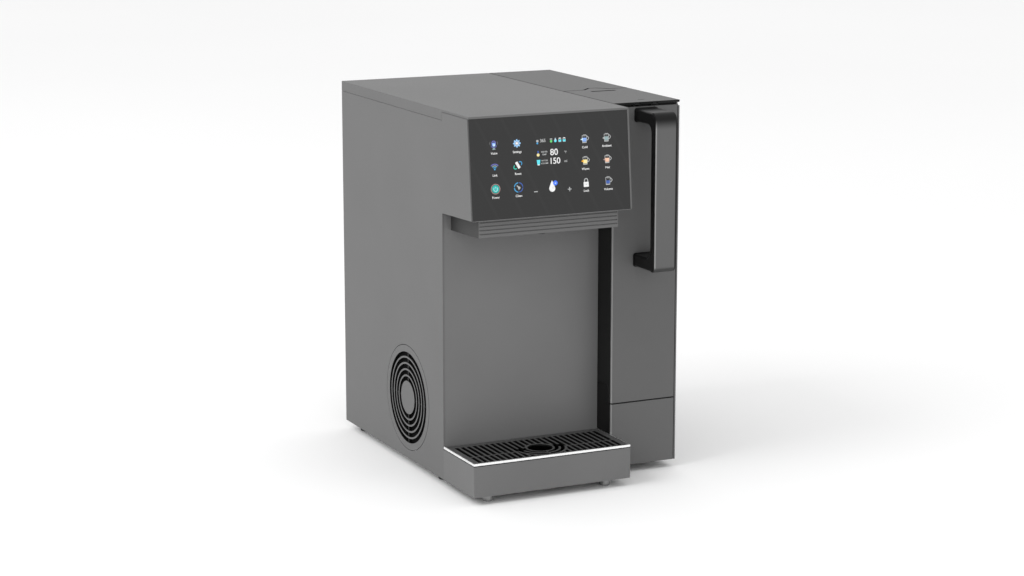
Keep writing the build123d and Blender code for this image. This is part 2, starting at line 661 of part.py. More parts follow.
def tank_lid():
    """Flat lid with a finger tab at its back edge and a shallow pull."""
    left, right = SPLIT + 0.8, RIGHT
    tab_low, tab_high = RIGHT - 54, RIGHT - 24
    outline = [
        (left, TANK_FRONT),
        (right, TANK_FRONT),
        (right, LID_BACK),
        (tab_high, LID_BACK),
        (tab_high - 11, LID_BACK + 12),
        (tab_low + 11, LID_BACK + 12),
        (tab_low, LID_BACK),
        (left, LID_BACK),
    ]
    lid = profile_z(outline, (TOP - 1.2, TOP))
    lid -= block((tab_low, tab_high), (LID_BACK - 17, LID_BACK - 12), (TOP - 0.6, TOP + 1))
    breather = RIGHT - 38
    lid -= block((breather - 4, breather + 4), (TANK_FRONT + 17, TANK_FRONT + 18.6), (TOP - 2, TOP + 1))
    right_edge = lid.edges().filter_by(Axis.Y).group_by(Axis.Z)[-1].sort_by(Axis.X)[-1:]
    return fillet(right_edge, 0.8)


def lid_liner():
    """Black inner lid with the hinge knuckles on its front edge."""
    z = (TOP - 2.6, TOP - 1.2)
    liner = block((SPLIT + 1.2, RIGHT - 0.4), (TANK_FRONT + 0.3, LID_BACK - 0.4), z)
    for x in HINGE_X:
        liner += rod("X", (HINGE_Y, HINGE_Z), KNUCKLE_RADIUS, (x - KNUCKLE_HALF, x + KNUCKLE_HALF))
        for span in lug_spans(x):
            notch = (span[0] - 0.3, span[1] + 0.3)
            liner -= block(notch, (TANK_FRONT, HINGE_Y + KNUCKLE_RADIUS), (TOP - 3, TOP - 1.2))
    return liner - rod("X", (HINGE_Y, HINGE_Z), PIN_RADIUS + 0.05, (LEFT, RIGHT))


def lid_seal():
    """Silicone seal under the lid, just inside the tank's rim."""
    inner = TANK_WALL + 0.6
    z = (TOP - 5.5, TOP - 2.6)
    outer = block(
        (TANK_LEFT + inner, TANK_RIGHT - inner), (PLATE_BACK + inner + 3, TANK_BACK - inner), z
    )
    outer = fillet(outer.edges().filter_by(Axis.Z), 6)
    wall = inner + 3
    y = (PLATE_BACK + wall + 3, TANK_BACK - wall)
    hole = block((TANK_LEFT + wall, TANK_RIGHT - wall), y, (TOP - 9, TOP))
    return outer - fillet(hole.edges().filter_by(Axis.Z), 4)


def handle_outline(inset=0.0):
    """Solid outline of the bow, rounded at its two front corners, set in by inset."""
    y = (HANDLE_FRONT + inset, TANK_FRONT)
    z = (HANDLE_LOW + inset, HANDLE_HIGH - inset)
    outline = block((HANDLE_LEFT, HANDLE_RIGHT), y, z)
    corners = outline.edges().filter_by(Axis.X).group_by(Axis.Y)[0].sort_by(Axis.Z)
    outline = fillet(corners[-1:], BOW_TOP_RADIUS - inset)
    corners = outline.edges().filter_by(Axis.X).group_by(Axis.Y)[0].sort_by(Axis.Z)
    return fillet(corners[:1], BOW_FOOT_RADIUS - inset)


BOW_TOP_RADIUS, BOW_FOOT_RADIUS = 9.0, 5.5
SKIN = 1.4  # painted strip round the front of the bow


def skin_zone(margin_left, margin_right):
    """Region of the bow's front that the strip covers."""
    x = (HANDLE_LEFT + margin_left, HANDLE_RIGHT - margin_right)
    zone = block(x, (HANDLE_FRONT - 1, HANDLE_FRONT + BOW_TOP_RADIUS), (HANDLE_LOW - 1, HANDLE_HIGH + 1))
    return zone - handle_outline(SKIN)


def tank_handle():
    """Bow handle: two arms and a straight grip, rebated for the painted strip."""
    outer = handle_outline()
    inner_z = (HANDLE_LOW + ARM, HANDLE_HIGH - ARM)
    gap = block((HANDLE_LEFT - 1, HANDLE_RIGHT + 1), (HANDLE_FRONT + GRIP, TANK_FRONT + 1), inner_z)
    gap = fillet(gap.edges().filter_by(Axis.X).group_by(Axis.Y)[0], 9)
    handle = outer - gap
    side = [
        edge
        for edge in handle.edges()
        if edge.bounding_box().size.X < 0.01 and edge.bounding_box().max.Y < TANK_FRONT - 0.1
    ]
    side += [edge for edge in handle.edges().filter_by(Axis.Y) if edge not in side and edge.length > 20]
    handle = fillet(side, 2.5)
    middle = (HANDLE_LEFT + HANDLE_RIGHT) / 2
    for z in HANDLE_SCREWS:
        handle -= rod("Y", (middle, z), HANDLE_SCREW_RADIUS, (TANK_FRONT - 12, TANK_FRONT + 1))
    return handle - skin_zone(-1, -1)


def handle_face():
    """Painted strip over the front of the bow and round its corners."""
    strip = handle_outline() & skin_zone(0.4, 0.9)
    edges = [
        edge
        for edge in strip.edges()
        if edge.bounding_box().size.X < 0.01
        and edge.length > 8
        and edge.bounding_box().min.Y < HANDLE_FRONT + SKIN / 2
    ]
    return fillet(edges, 0.5)


def handle_screws():
    """Two screws that hold the handle, driven from inside the plate."""
    x = (HANDLE_LEFT + HANDLE_RIGHT) / 2
    span = (TANK_FRONT - 12, PLATE_BACK)
    return group([rod("Y", (x, z), HANDLE_SCREW_RADIUS, span) for z in HANDLE_SCREWS])


# ---------------------------------------------------------------- filter bay
def filter_cover():
    """Lift-off cover over the filters, notched for the lid's tab."""
    left, right = SPLIT + 0.8, RIGHT
    front = LID_BACK + 2.0
    tab_low, tab_high = RIGHT - 55.8, RIGHT - 22.2
    outline = [
        (left, front),
        (tab_low, front),
        (tab_low + 11, front + 12),
        (tab_high - 11, front + 12),
        (tab_high, front),
        (right, front),
        (right, BACK),
        (left, BACK),
    ]
    cover = profile_z(outline, (COVER_UNDER, TOP))
    right_edge = cover.edges().filter_by(Axis.Y).group_by(Axis.Z)[-1].sort_by(Axis.X)[-1:]
    return fillet(right_edge, 0.8)


FILTER_X = (SPLIT + RIGHT - SHEET) / 2
FILTER_PLACES = {"sediment_filter": (FILTER_X, 34.0), "membrane_filter": (FILTER_X, 118.0)}
FILTER_RADIUS = 35.0
MANIFOLD_TOP = BASE + 62.0


def filter_manifold():
    """Water block under both cartridges."""
    body = block((FILTER_X - 34, FILTER_X + 34), (-8, 160), (FLOOR + 20, MANIFOLD_TOP))
    for centre in FILTER_PLACES.values():
        body -= rod("Z", centre, 16.3, (MANIFOLD_TOP - 14, MANIFOLD_TOP + 1))
    hollow = block((FILTER_X - 31, FILTER_X + 31), (-5, 157), (FLOOR + 19, MANIFOLD_TOP - 17))
    legs = [block((FILTER_X - 30, FILTER_X + 30), (y, y + 10), (FLOOR, FLOOR + 21)) for y in (-8, 150)]
    return body - hollow + legs[0] + legs[1]


def filter_cartridge(centre):
    """Quarter-turn cartridge: shell, neck with its port, core and grip bar."""
    low, high = MANIFOLD_TOP + 0.6, BASE + 360
    body = rod("Z", centre, FILTER_RADIUS, (low, high))
    body = fillet(body.edges().filter_by(GeomType.CIRCLE), 5)
    body += rod("Z", centre, 16.0, (MANIFOLD_TOP - 13, low + 1))
    body -= rod("Z", centre, FILTER_RADIUS - 2.5, (low + 3, high - 3))
    body -= rod("Z", centre, 5.0, (MANIFOLD_TOP - 14, low + 4))
    body += rod("Z", centre, 20.0, (low + 20, high - 20)) - rod("Z", centre, 8.0, (low + 19, high - 19))
    for z in (low + 20, high - 22):
        body += rod("Z", centre, FILTER_RADIUS - 2, (z, z + 2)) - rod("Z", centre, 8.0, (z - 1, z + 3))
    grip = block((centre[0] - 24, centre[0] + 24), (centre[1] - 4, centre[1] + 4), (high - 1, high + 14))
    return body + fillet(grip.edges().group_by(Axis.Z)[-1], 2)


# ---------------------------------------------------------------- works behind the bay
FAN_X = (LEFT + 5.0, LEFT + 30.0)
FAN_HALF = 46.0


def fan_frame():
    """Square axial fan frame with four arms to the motor seat and its spindle."""
    sides = ((VENT_Y - FAN_HALF, VENT_Y + FAN_HALF), (VENT_Z - FAN_HALF, VENT_Z + FAN_HALF))
    frame = fillet(block(FAN_X, *sides).edges().filter_by(Axis.X), 5)
    frame -= rod("X", (VENT_Y, VENT_Z), 43.5, (FAN_X[0] - 1, FAN_X[1] + 1))
    seat = rod("X", (VENT_Y, VENT_Z), 15.0, (FAN_X[1] - 3, FAN_X[1]))
    back = (FAN_X[1] - 3, FAN_X[1])
    arms = block(back, (VENT_Y - 44.5, VENT_Y + 44.5), (VENT_Z - 2, VENT_Z + 2))
    arms += block(back, (VENT_Y - 2, VENT_Y + 2), (VENT_Z - 44.5, VENT_Z + 44.5))
    for y in (-40.5, 40.5):
        for z in (-40.5, 40.5):
            frame -= rod("X", (VENT_Y + y, VENT_Z + z), 2.1, (FAN_X[0] - 1, FAN_X[1] + 1))
    spindle = rod("X", (VENT_Y, VENT_Z), 2.95, (FAN_X[1] - 13, FAN_X[1] - 3))
    return frame + (seat + arms) + spindle


def fan_rotor():
    """Hub with seven pitched blades."""
    span = (FAN_X[0] + 3, FAN_X[1] - 4)
    rotor = rod("X", (VENT_Y, VENT_Z), 17.0, span)
    middle = (span[0] + span[1]) / 2
    for n in range(7):
        angle = n * 360 / 7
        blade = Pos(0, 0, 29) * Rot(0, 0, 38) * Box(1.6, 21, 26)
        rotor += Pos(middle, VENT_Y, VENT_Z) * Rot(angle, 0, 0) * blade
    return rotor - rod("X", (VENT_Y, VENT_Z), 3.0, (span[1] - 10, span[1] + 1))


def heat_sink():
    """Finned sink on the hot side of the cooler."""
    x = (FAN_X[1] + 1.5, FAN_X[1] + 30)
    base = block((x[1] - 5, x[1]), (VENT_Y - 45, VENT_Y + 45), (VENT_Z - 45, VENT_Z + 45))
    for n in range(15):
        y = VENT_Y - 44 + n * 6.2
        base += block((x[0], x[1] - 5), (y, y + 1.4), (VENT_Z - 45, VENT_Z + 45))
    return base


COOLER_X = FAN_X[1] + 30


def cooler_module():
    """Thermoelectric plate between sink and cold tank."""
    return block((COOLER_X, COOLER_X + 4), (VENT_Y - 20, VENT_Y + 20), (VENT_Z - 20, VENT_Z + 20))


def cold_tank():
    """Insulated cold water vessel with its port on top."""
    x = (COOLER_X + 4, COOLER_X + 78)
    body = block(x, (VENT_Y - 40, VENT_Y + 40), (FLOOR + 12, FLOOR + 150))
    body = fillet(body.edges().filter_by(Axis.Z), 12)
    inside = block((x[0] + 6, x[1] - 6), (VENT_Y - 34, VENT_Y + 34), (FLOOR + 18, FLOOR + 144))
    body -= fillet(inside.edges().filter_by(Axis.Z), 8)
    body -= rod("Z", ((x[0] + x[1]) / 2, VENT_Y), 5.0, (FLOOR + 140, FLOOR + 151))
    foot_plate = block((x[0] + 8, x[1] - 8), (VENT_Y - 30, VENT_Y + 30), (FLOOR, FLOOR + 12))
    return body + foot_plate


PUMP = (LEFT + 38.0, BASE + 44.0)


def booster_pump():
    """Diaphragm pump: motor can, square head and two hose tails."""
    can, head = (60, 122), (122, 148)
    body = rod("Y", PUMP, 21.0, can)
    body += block((PUMP[0] - 24, PUMP[0] + 24), head, (PUMP[1] - 24, PUMP[1] + 24))
    for side in (-12, 12):
        body += rod("Z", (PUMP[0] + side, sum(head) / 2), 4.0, (PUMP[1] + 24, PUMP[1] + 38))
    body -= rod("Y", PUMP, 19.0, (can[0] + 2, can[1] - 3)) + rod("Y", PUMP, 4.0, (can[0] - 1, can[0] + 3))
    cradle = block((PUMP[0] - 18, PUMP[0] + 18), (can[0] + 6, can[1] - 6), (FLOOR, PUMP[1] - 12))
    return body + (cradle - rod("Y", PUMP, 20.5, (can[0], can[1])))


HEATER = (LEFT + 150.0, 70.0)


def water_heater():
    """Instant heater: steel tube with end caps on a bracket."""
    low, high = BASE + 60, BASE + 220
    body = rod("Z", HEATER, 20, (low, high))
    body += rod("Z", HEATER, 23, (low, low + 12)) + rod("Z", HEATER, 23, (high - 12, high))
    body += rod("Z", HEATER, 4, (low - 12, low)) + rod("Z", HEATER, 4, (high, high + 12))
    x, y = (SPLIT - SHEET - 14, SPLIT - SHEET), (HEATER[1] - 12, HEATER[1] + 12)
    bracket = block(x, y, (low + 40, low + 60)) - rod("Z", HEATER, 19.9, (low, high))
    body -= rod("Z", HEATER, 18.5, (low + 5, high - 5))
    return body + bracket - rod("Z", HEATER, 2.5, (low - 13, high + 13))


def power_supply():
    """Sheet metal case of the power supply, on the back panel."""
    front = REAR_INSIDE - 50
    box = block((LEFT + 20, LEFT + 120), (front, REAR_INSIDE - 2), (BASE + 130, BASE + 200))
    for n in range(7):
        x = LEFT + 32 + n * 12
        box -= block((x, x + 4), (front - 1, front + 4), (BASE + 140, BASE + 190))
    box -= block((LEFT + 22, LEFT + 118), (front + 2, REAR_INSIDE - 4), (BASE + 132, BASE + 198))
    feet = block((LEFT + 24, LEFT + 34), (REAR_INSIDE - 2, REAR_INSIDE), (BASE + 136, BASE + 146))
    return box + feet + Pos(82, 0, 0) * feet


def main_board():
    """Control board on the partition wall, with its larger parts."""
    x = SPLIT - SHEET
    board = block((x - 7.6, x - 6), (-70, 40), (BASE + 250, BASE + 370))
    for y in (-64, 34):
        for z in (256, 364):
            board += rod("X", (y, BASE + z), 2.5, (x - 6, x))
    board += block((x - 22, x - 7.6), (-50, -30), (BASE + 270, BASE + 290))
    board += block((x - 24, x - 7.6), (-10, 10), (BASE + 270, BASE + 290))
    board += block((x - 12, x - 7.6), (-45, -10), (BASE + 310, BASE + 345))
    for n in range(3):
        board += rod("X", (20, BASE + 300 + 14 * n), 5, (x - 24, x - 7.6))
    return board


def solenoid_valves():
    """Two outlet valves on a bar above the cold tank."""
    made = []
    for side in (0, 1):
        y = -60 + 38 * side
        x, z = LEFT + 128, BASE + 236
        body = block((x - 11, x + 11), (y - 12, y + 12), (z, z + 16))
        body += rod("Z", (x, y), 10, (z + 16, z + 44))
        body += rod("X", (y, z + 8), 4, (x - 22, x + 22))
        made.append(body)
    bar = block((LEFT + 110, LEFT + 146), (-76, -6), (BASE + 232, BASE + 236))
    return group([made[0] + made[1] + bar])


def tube(points, radius, bends):
    """Hose along straight runs joined by tangent arcs."""
    path = FilletPolyline(*points, radius=bends)
    start = Plane(origin=path @ 0, z_dir=path % 0)
    return sweep(start * Circle(radius), path=path)


def hot_hose():
    """Heater to nozzle."""
    top = BASE + 232
    points = [
        (HEATER[0], HEATER[1], top),
        (HEATER[0], HEATER[1], top + 70),
        (DRAIN[0], HEATER[1] - 60, top + 110),
        (DRAIN[0], DRAIN[1], top + 96),
        (DRAIN[0], DRAIN[1], underside_z(DRAIN[1]) - BLOCK_DROP + 9),
    ]
    return tube(points, 4.0, 22)


NODES = {
    "base_pan": base_pan,
    "left_panel": left_panel,
    "vent_grille": vent_grille,
    "top_cover": top_cover,
    "bay_panel": bay_panel,
    "partition_wall": partition_wall,
    "head_side": head_side,
    "head_underside": head_underside,
    "panel_carrier": panel_carrier,
    "control_glass": control_glass,
    "touch_board": touch_board,
    "display_module": display_module,
    "dispensing_block": dispensing_block,
    "nozzle": nozzle,
    "right_panel": right_panel,
    "filter_bay_wall": filter_bay_wall,
    "rear_panel": rear_panel,
    "rear_screws": rear_screws,
    "power_inlet": power_inlet,
    "power_switch_frame": power_switch_frame,
    "power_rocker": power_rocker,
    "drain_port": drain_port,
    "drain_plug": drain_plug,
    "case_feet": case_feet,
    "tray_feet": tray_feet,
    "tray_housing": tray_housing,
    "drip_pan": drip_pan,
    "tray_rim": tray_rim,
    "drip_grille": drip_grille,
    "tray_float": tray_float,
    "dock_front": dock_front,
    "tank_dock": tank_dock,
    "dock_valve": dock_valve,
    "tank_body": tank_body,
    "tank_plate": tank_plate,
    "outlet_valve": outlet_valve,
    "outlet_poppet": outlet_poppet,
    "hinge_pins": hinge_pins,
    "level_float": level_float,
    "tank_lid": tank_lid,
    "lid_liner": lid_liner,
    "lid_seal": lid_seal,
    "tank_handle": tank_handle,
    "handle_face": handle_face,
    "handle_screws": handle_screws,
    "filter_cover": filter_cover,
    "filter_manifold": filter_manifold,
    "fan_frame": fan_frame,
    "fan_rotor": fan_rotor,
    "heat_sink": heat_sink,
    "cooler_module": cooler_module,
    "cold_tank": cold_tank,
    "booster_pump": booster_pump,
    "water_heater": water_heater,
    "power_supply": power_supply,
    "main_board": main_board,
    "solenoid_valves": solenoid_valves,
    "hot_hose": hot_hose,
}

if __name__ == "__main__":
    os.makedirs("parts", exist_ok=True)
    for name, make in NODES.items():
        export_step(make(), f"parts/{name}.step")
    for name, centre in FILTER_PLACES.items():
        export_step(filter_cartridge(centre), f"parts/{name}.step")
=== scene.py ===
import logging
import math
from dataclasses import dataclass
from enum import Enum
from typing import Iterable, Sequence

import bmesh
import bpy
from mathutils import Euler, Matrix, Vector


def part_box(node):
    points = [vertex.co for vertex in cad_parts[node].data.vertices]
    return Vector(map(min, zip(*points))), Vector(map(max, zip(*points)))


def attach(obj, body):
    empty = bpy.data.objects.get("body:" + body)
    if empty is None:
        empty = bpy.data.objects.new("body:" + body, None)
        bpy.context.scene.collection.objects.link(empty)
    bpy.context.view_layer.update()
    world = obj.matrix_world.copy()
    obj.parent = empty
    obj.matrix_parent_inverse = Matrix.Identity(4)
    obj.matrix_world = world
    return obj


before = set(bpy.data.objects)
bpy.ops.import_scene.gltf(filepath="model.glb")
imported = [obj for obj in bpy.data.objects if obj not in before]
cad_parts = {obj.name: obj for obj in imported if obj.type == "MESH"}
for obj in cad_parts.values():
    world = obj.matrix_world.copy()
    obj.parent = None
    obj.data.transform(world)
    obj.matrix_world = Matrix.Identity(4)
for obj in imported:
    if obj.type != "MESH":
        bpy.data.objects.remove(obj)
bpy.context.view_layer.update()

logging.basicConfig(level=logging.INFO, format="%(message)s")
log = logging.getLogger("dispenser")

MM = 0.001
Colour = tuple[float, float, float]
Point = tuple[float, float]
Place = tuple[float, float, float]


def shade(level: float, tint: Colour = (1.0, 1.0, 1.0)) -> Colour:
    """Linear colour for a display grey level.

    Args:
        level: Grey level from 0 to 255, as a display shows it.
        tint: Factors for red, green and blue.

    Returns:
        Linear red, green and blue.
    """
    value = level / 255.0
    linear = value / 12.92 if value <= 0.04045 else ((value + 0.055) / 1.055) ** 2.4
    return (linear * tint[0], linear * tint[1], linear * tint[2])


def hue(red: float, green: float, blue: float) -> Colour:
    """Linear colour for display levels of red, green and blue, each from 0 to 255."""
    return (shade(red)[0], shade(green)[0], shade(blue)[0])


# ------------------------------------------------------------------ finishes
class Graph:
    """A material's node tree with short ways to add and join nodes."""

    def __init__(self, name: str) -> None:
        """Start a material with a surface shader and its output.

        Args:
            name: The material's name.
        """
        self.material = bpy.data.materials.new(name)
        self.material.use_nodes = True
        self.tree = self.material.node_tree
        self.tree.nodes.clear()
        self.output = self.node("ShaderNodeOutputMaterial")
        self.shader = self.node("ShaderNodeBsdfPrincipled")
        self.join(self.shader, "BSDF", self.output, "Surface")
        self.place = self.node("ShaderNodeTexCoord")

    def node(self, kind: str, **settings: object) -> bpy.types.Node:
        """Add a node.

        Args:
            kind: The node's type name.
            settings: Attributes by name.

        Returns:
            The new node.
        """
        made = self.tree.nodes.new(kind)
        for key, value in settings.items():
            setattr(made, key, value)
        return made

    def join(self, source: bpy.types.Node, out: str, target: bpy.types.Node, into: str | int) -> None:
        """Link one node's output to another's input."""
        self.tree.links.new(source.outputs[out], target.inputs[into])

    def set(self, **values: object) -> None:
        """Set sockets of the surface shader; underscores in names stand for spaces."""
        for key, value in values.items():
            socket = self.shader.inputs[key.replace("_", " ")]
            socket.default_value = (*value, 1.0) if isinstance(value, tuple) else value

    def noise(self, scale: float, detail: float = 2.0, stretch: Colour = (1.0, 1.0, 1.0)) -> bpy.types.Node:
        """Add noise on object coordinates.

        Args:
            scale: Cells per metre.
            detail: Octaves of finer noise.
            stretch: Scale factors along X, Y and Z.

        Returns:
            The noise node.
        """
        mapping = self.node("ShaderNodeMapping")
        mapping.inputs["Scale"].default_value = stretch
        self.join(self.place, "Object", mapping, "Vector")
        made = self.node("ShaderNodeTexNoise")
        made.inputs["Scale"].default_value = scale
        made.inputs["Detail"].default_value = detail
        self.join(mapping, "Vector", made, "Vector")
        return made

    def remap(
        self, source: bpy.types.Node, out: str, spans: tuple[float, float, float, float]
    ) -> bpy.types.Node:
        """Map a value from the first pair of numbers to the second pair."""
        made = self.node("ShaderNodeMapRange")
        for name, value in zip(("From Min", "From Max", "To Min", "To Max"), spans):
            made.inputs[name].default_value = value
        self.join(source, out, made, "Value")
        return made

    def mottle(self, colour: Colour, noise: bpy.types.Node, amount: float) -> bpy.types.Node:
        """Vary a colour's brightness by a noise.

        Args:
            colour: Linear middle colour.
            noise: Noise node that drives the change.
            amount: Largest change either way, as a share.

        Returns:
            The mix node, whose Result output is the colour.
        """
        mix = self.node("ShaderNodeMix", data_type="RGBA")
        mix.inputs[6].default_value = (*[c * (1.0 - amount) for c in colour], 1.0)
        mix.inputs[7].default_value = (*[c * (1.0 + amount) for c in colour], 1.0)
        self.join(self.remap(noise, "Fac", (0.3, 0.7, 0.0, 1.0)), "Result", mix, "Factor")
        return mix

    def cover(self, mask: bpy.types.Node, colour: Colour) -> None:
        """Lay a colour over the base colour where a mask's Result is 1.

        Args:
            mask: Node whose Result output is the mask.
            colour: Linear colour.
        """
        mix = self.node("ShaderNodeMix", data_type="RGBA")
        self.join(mask, "Result", mix, "Factor")
        base = self.shader.inputs["Base Color"].links[0].from_socket
        self.tree.links.new(base, mix.inputs[6])
        mix.inputs[7].default_value = (*colour, 1.0)
        self.tree.links.new(mix.outputs[2], self.shader.inputs["Base Color"])

    def bump(self, height: bpy.types.Node, depth: float, strength: float = 1.0, edge: float = 0.0) -> None:
        """Raise the surface by a height, on normals rounded at sharp edges.

        Args:
            height: Node whose Fac output is the height.
            depth: Height of the relief in metres.
            strength: Share of the relief that shows.
            edge: Radius of the rounding at edges, in metres.
        """
        made = self.node("ShaderNodeBump")
        made.inputs["Strength"].default_value = strength
        made.inputs["Distance"].default_value = depth
        self.join(height, "Fac", made, "Height")
        if edge > 0.0:
            rounding = self.node("ShaderNodeBevel", samples=4)
            rounding.inputs["Radius"].default_value = edge
            self.join(rounding, "Normal", made, "Normal")
        self.join(made, "Normal", self.shader, "Normal")


@dataclass(frozen=True)
class Finish:
    """A named surface; subclasses say how its material is built."""

    name: str
    colour: Colour

    def build(self, graph: Graph) -> None:
        """Fill the material's graph."""
        raise NotImplementedError

    def material(self) -> bpy.types.Material:
        """The finish's material, made once."""
        found = bpy.data.materials.get(f"{self.name}_finish")
        if found is not None:
            return found
        graph = Graph(f"{self.name}_finish")
        self.build(graph)
        return graph.material


@dataclass(frozen=True)
class TexturedPaint(Finish):
    """Powder coat with a fine texture over sheet metal."""

    roughness: float = 0.5
    grain: float = 2600.0
    relief: float = 0.00003
    gloss: float = 0.24
    edge: float = 0.0006

    def build(self, graph: Graph) -> None:
        """Fine grain, slight cloudiness and softly broken edges."""
        cloud = graph.noise(9.0, 3.0)
        grain = graph.noise(self.grain, 2.0)
        graph.join(graph.mottle(self.colour, cloud, 0.035), "Result", graph.shader, "Base Color")
        rough = graph.remap(grain, "Fac", (0.3, 0.7, self.roughness - 0.06, self.roughness + 0.06))
        graph.join(rough, "Result", graph.shader, "Roughness")
        graph.set(Specular_IOR_Level=self.gloss)
        graph.bump(grain, self.relief, 0.55, self.edge)


@dataclass(frozen=True)
class LightAndShadePaint(TexturedPaint):
    """Paint where each band of another grey, beyond a place along one axis, is a painted highlight or a painted
    shade.
    """

    light_and_shade_bands: tuple[tuple[str, float, float, float], ...] = ()

    def build(self, graph: Graph) -> None:
        """Textured paint; each band of painted light or shade is (axis, where it starts, where it is full, grey
        level).
        """
        super().build(graph)
        axes = graph.node("ShaderNodeSeparateXYZ")
        graph.join(graph.place, "Object", axes, "Vector")
        for axis, start, full, level in self.light_and_shade_bands:
            low, high = min(start, full), max(start, full)
            ends = (0.0, 1.0) if full > start else (1.0, 0.0)
            fade = graph.remap(axes, axis, (low, high, *ends))
            fade.interpolation_type = "SMOOTHSTEP"
            graph.cover(fade, shade(level))


class Side(Enum):
    """The axis along which a painted face looks; the part's other faces get a dark grey, painted shade of slots,
    grooves and gaps, on the lid covers also their black plastic.
    """

    ACROSS = "X"
    ALONG = "Y"
    UPRIGHT = "Z"


@dataclass(frozen=True)
class FacePaint(TexturedPaint):
    """Paint on the faces that look along one axis; the other faces get a dark grey as painted shade (on the lid
    covers, partly their black plastic).
    """

    side: Side = Side.UPRIGHT
    dark_level: float = 14.0
    # Depth along the axis beyond which every face also gets the painted shade; 1.0 leaves it out.
    behind: float = 1.0

    def build(self, graph: Graph) -> None:
        """Textured paint, replaced by the dark grey of painted shade where the surface turns away from its axis.
        """
        super().build(graph)
        geometry = graph.node("ShaderNodeNewGeometry")
        axes = graph.node("ShaderNodeSeparateXYZ")
        graph.join(geometry, "True Normal", axes, "Vector")
        flat = graph.node("ShaderNodeMath", operation="ABSOLUTE")
        graph.join(axes, self.side.value, flat, 0)
        # Faces turned away from the axis take the painted shade.
        mask = graph.remap(flat, "Value", (0.45, 0.55, 1.0, 0.0))
        graph.cover(mask, shade(self.dark_level))
        if self.behind < 1.0:
            place = graph.node("ShaderNodeSeparateXYZ")
            graph.join(graph.place, "Object", place, "Vector")
            deep = graph.remap(place, self.side.value, (self.behind, self.behind + 0.0001, 0.0, 1.0))
            graph.cover(deep, shade(self.dark_level))


@dataclass(frozen=True)
class LinedPaint(TexturedPaint):
    """Paint with a dark joint line between two heights."""

    low: float = 0.0
    high: float = 0.0
    dark_level: float = 60.0

    def build(self, graph: Graph) -> None:
        """Textured paint, darker between the heights."""
        super().build(graph)
        axes = graph.node("ShaderNodeSeparateXYZ")
        graph.join(graph.place, "Object", axes, "Vector")
        middle, half = (self.low + self.high) / 2, (self.high - self.low) / 2
        away = graph.node("ShaderNodeMath", operation="SUBTRACT")
        away.inputs[1].default_value = middle
        graph.join(axes, "Z", away, 0)
        size = graph.node("ShaderNodeMath", operation="ABSOLUTE")
        graph.join(away, "Value", size, 0)
        graph.cover(graph.remap(size, "Value", (half * 0.8, half * 1.2, 1.0, 0.0)), shade(self.dark_level))


@dataclass(frozen=True)
class Moulding(Finish):
    """Moulded plastic or rubber with a spark-eroded grain."""

    roughness: float = 0.45
    grain: float = 1800.0
    relief: float = 0.00003
    gloss: float = 0.4
    edge: float = 0.0005

    def build(self, graph: Graph) -> None:
        """Grain and faint flow marks."""
        flow = graph.noise(18.0, 3.0, (1.0, 1.0, 0.35))
        grain = graph.noise(self.grain, 1.0)
        graph.join(graph.mottle(self.colour, flow, 0.08), "Result", graph.shader, "Base Color")
        rough = graph.remap(flow, "Fac", (0.3, 0.7, self.roughness - 0.05, self.roughness + 0.05))
        graph.join(rough, "Result", graph.shader, "Roughness")
        graph.set(Specular_IOR_Level=self.gloss)
        graph.bump(grain, self.relief, 0.5, self.edge)


@dataclass(frozen=True)
class TintedGlass(Finish):
    """Dark touch glass with faint slanting lines of painted sheen."""

    roughness: float = 0.22

    def build(self, graph: Graph) -> None:
        """Dark ground, soft gloss and thin lines of painted sheen about 20 mm apart."""
        mapping = graph.node("ShaderNodeMapping")
        mapping.inputs["Rotation"].default_value = (0.0, math.radians(26.0), 0.0)
        graph.join(graph.place, "Object", mapping, "Vector")
        wave = graph.node("ShaderNodeTexWave", wave_type="BANDS", bands_direction="X")
        wave.inputs["Scale"].default_value = 12.0
        wave.inputs["Distortion"].default_value = 0.0
        graph.join(mapping, "Vector", wave, "Vector")
        # Painted sheen: the crest of each wave makes a line 8% lighter than the glass.
        line = graph.remap(wave, "Fac", (0.93, 1.0, 0.0, 1.0))
        mix = graph.node("ShaderNodeMix", data_type="RGBA")
        mix.inputs[6].default_value = (*self.colour, 1.0)
        mix.inputs[7].default_value = (*[c * 1.08 for c in self.colour], 1.0)
        graph.join(line, "Result", mix, "Factor")
        graph.join(mix, "Result", graph.shader, "Base Color")
        film = graph.noise(60.0, 2.0)
        rough = graph.remap(film, "Fac", (0.3, 0.7, self.roughness - 0.02, self.roughness + 0.02))
        graph.join(rough, "Result", graph.shader, "Roughness")
        graph.set(Specular_IOR_Level=0.22, IOR=1.5)


@dataclass(frozen=True)
class Metal(Finish):
    """Bare metal, with lay marks along one direction."""

    roughness: float = 0.3
    lay: Colour = (1.0, 1.0, 40.0)
    relief: float = 0.00001

    def build(self, graph: Graph) -> None:
        """Stretched noise in colour, roughness and relief."""
        marks = graph.noise(60.0, 3.0, self.lay)
        graph.join(graph.mottle(self.colour, marks, 0.05), "Result", graph.shader, "Base Color")
        low, high = self.roughness * 0.8, self.roughness * 1.25
        graph.join(graph.remap(marks, "Fac", (0.3, 0.7, low, high)), "Result", graph.shader, "Roughness")
        graph.set(Metallic=1.0)
        graph.bump(marks, self.relief, 0.4, 0.0003)


@dataclass(frozen=True)
class LitInk(Finish):
    """Sign that shines through the glass, a little brighter near its lamp."""

    power: float = 1.0

    def build(self, graph: Graph) -> None:
        """Light with soft patches about 3 mm across."""
        patch = graph.noise(300.0, 1.0)
        lit = graph.mottle(self.colour, patch, 0.1)
        graph.join(lit, "Result", graph.shader, "Emission Color")
        graph.set(Base_Color=shade(8), Emission_Strength=self.power, Roughness=0.4, Specular_IOR_Level=0.1)


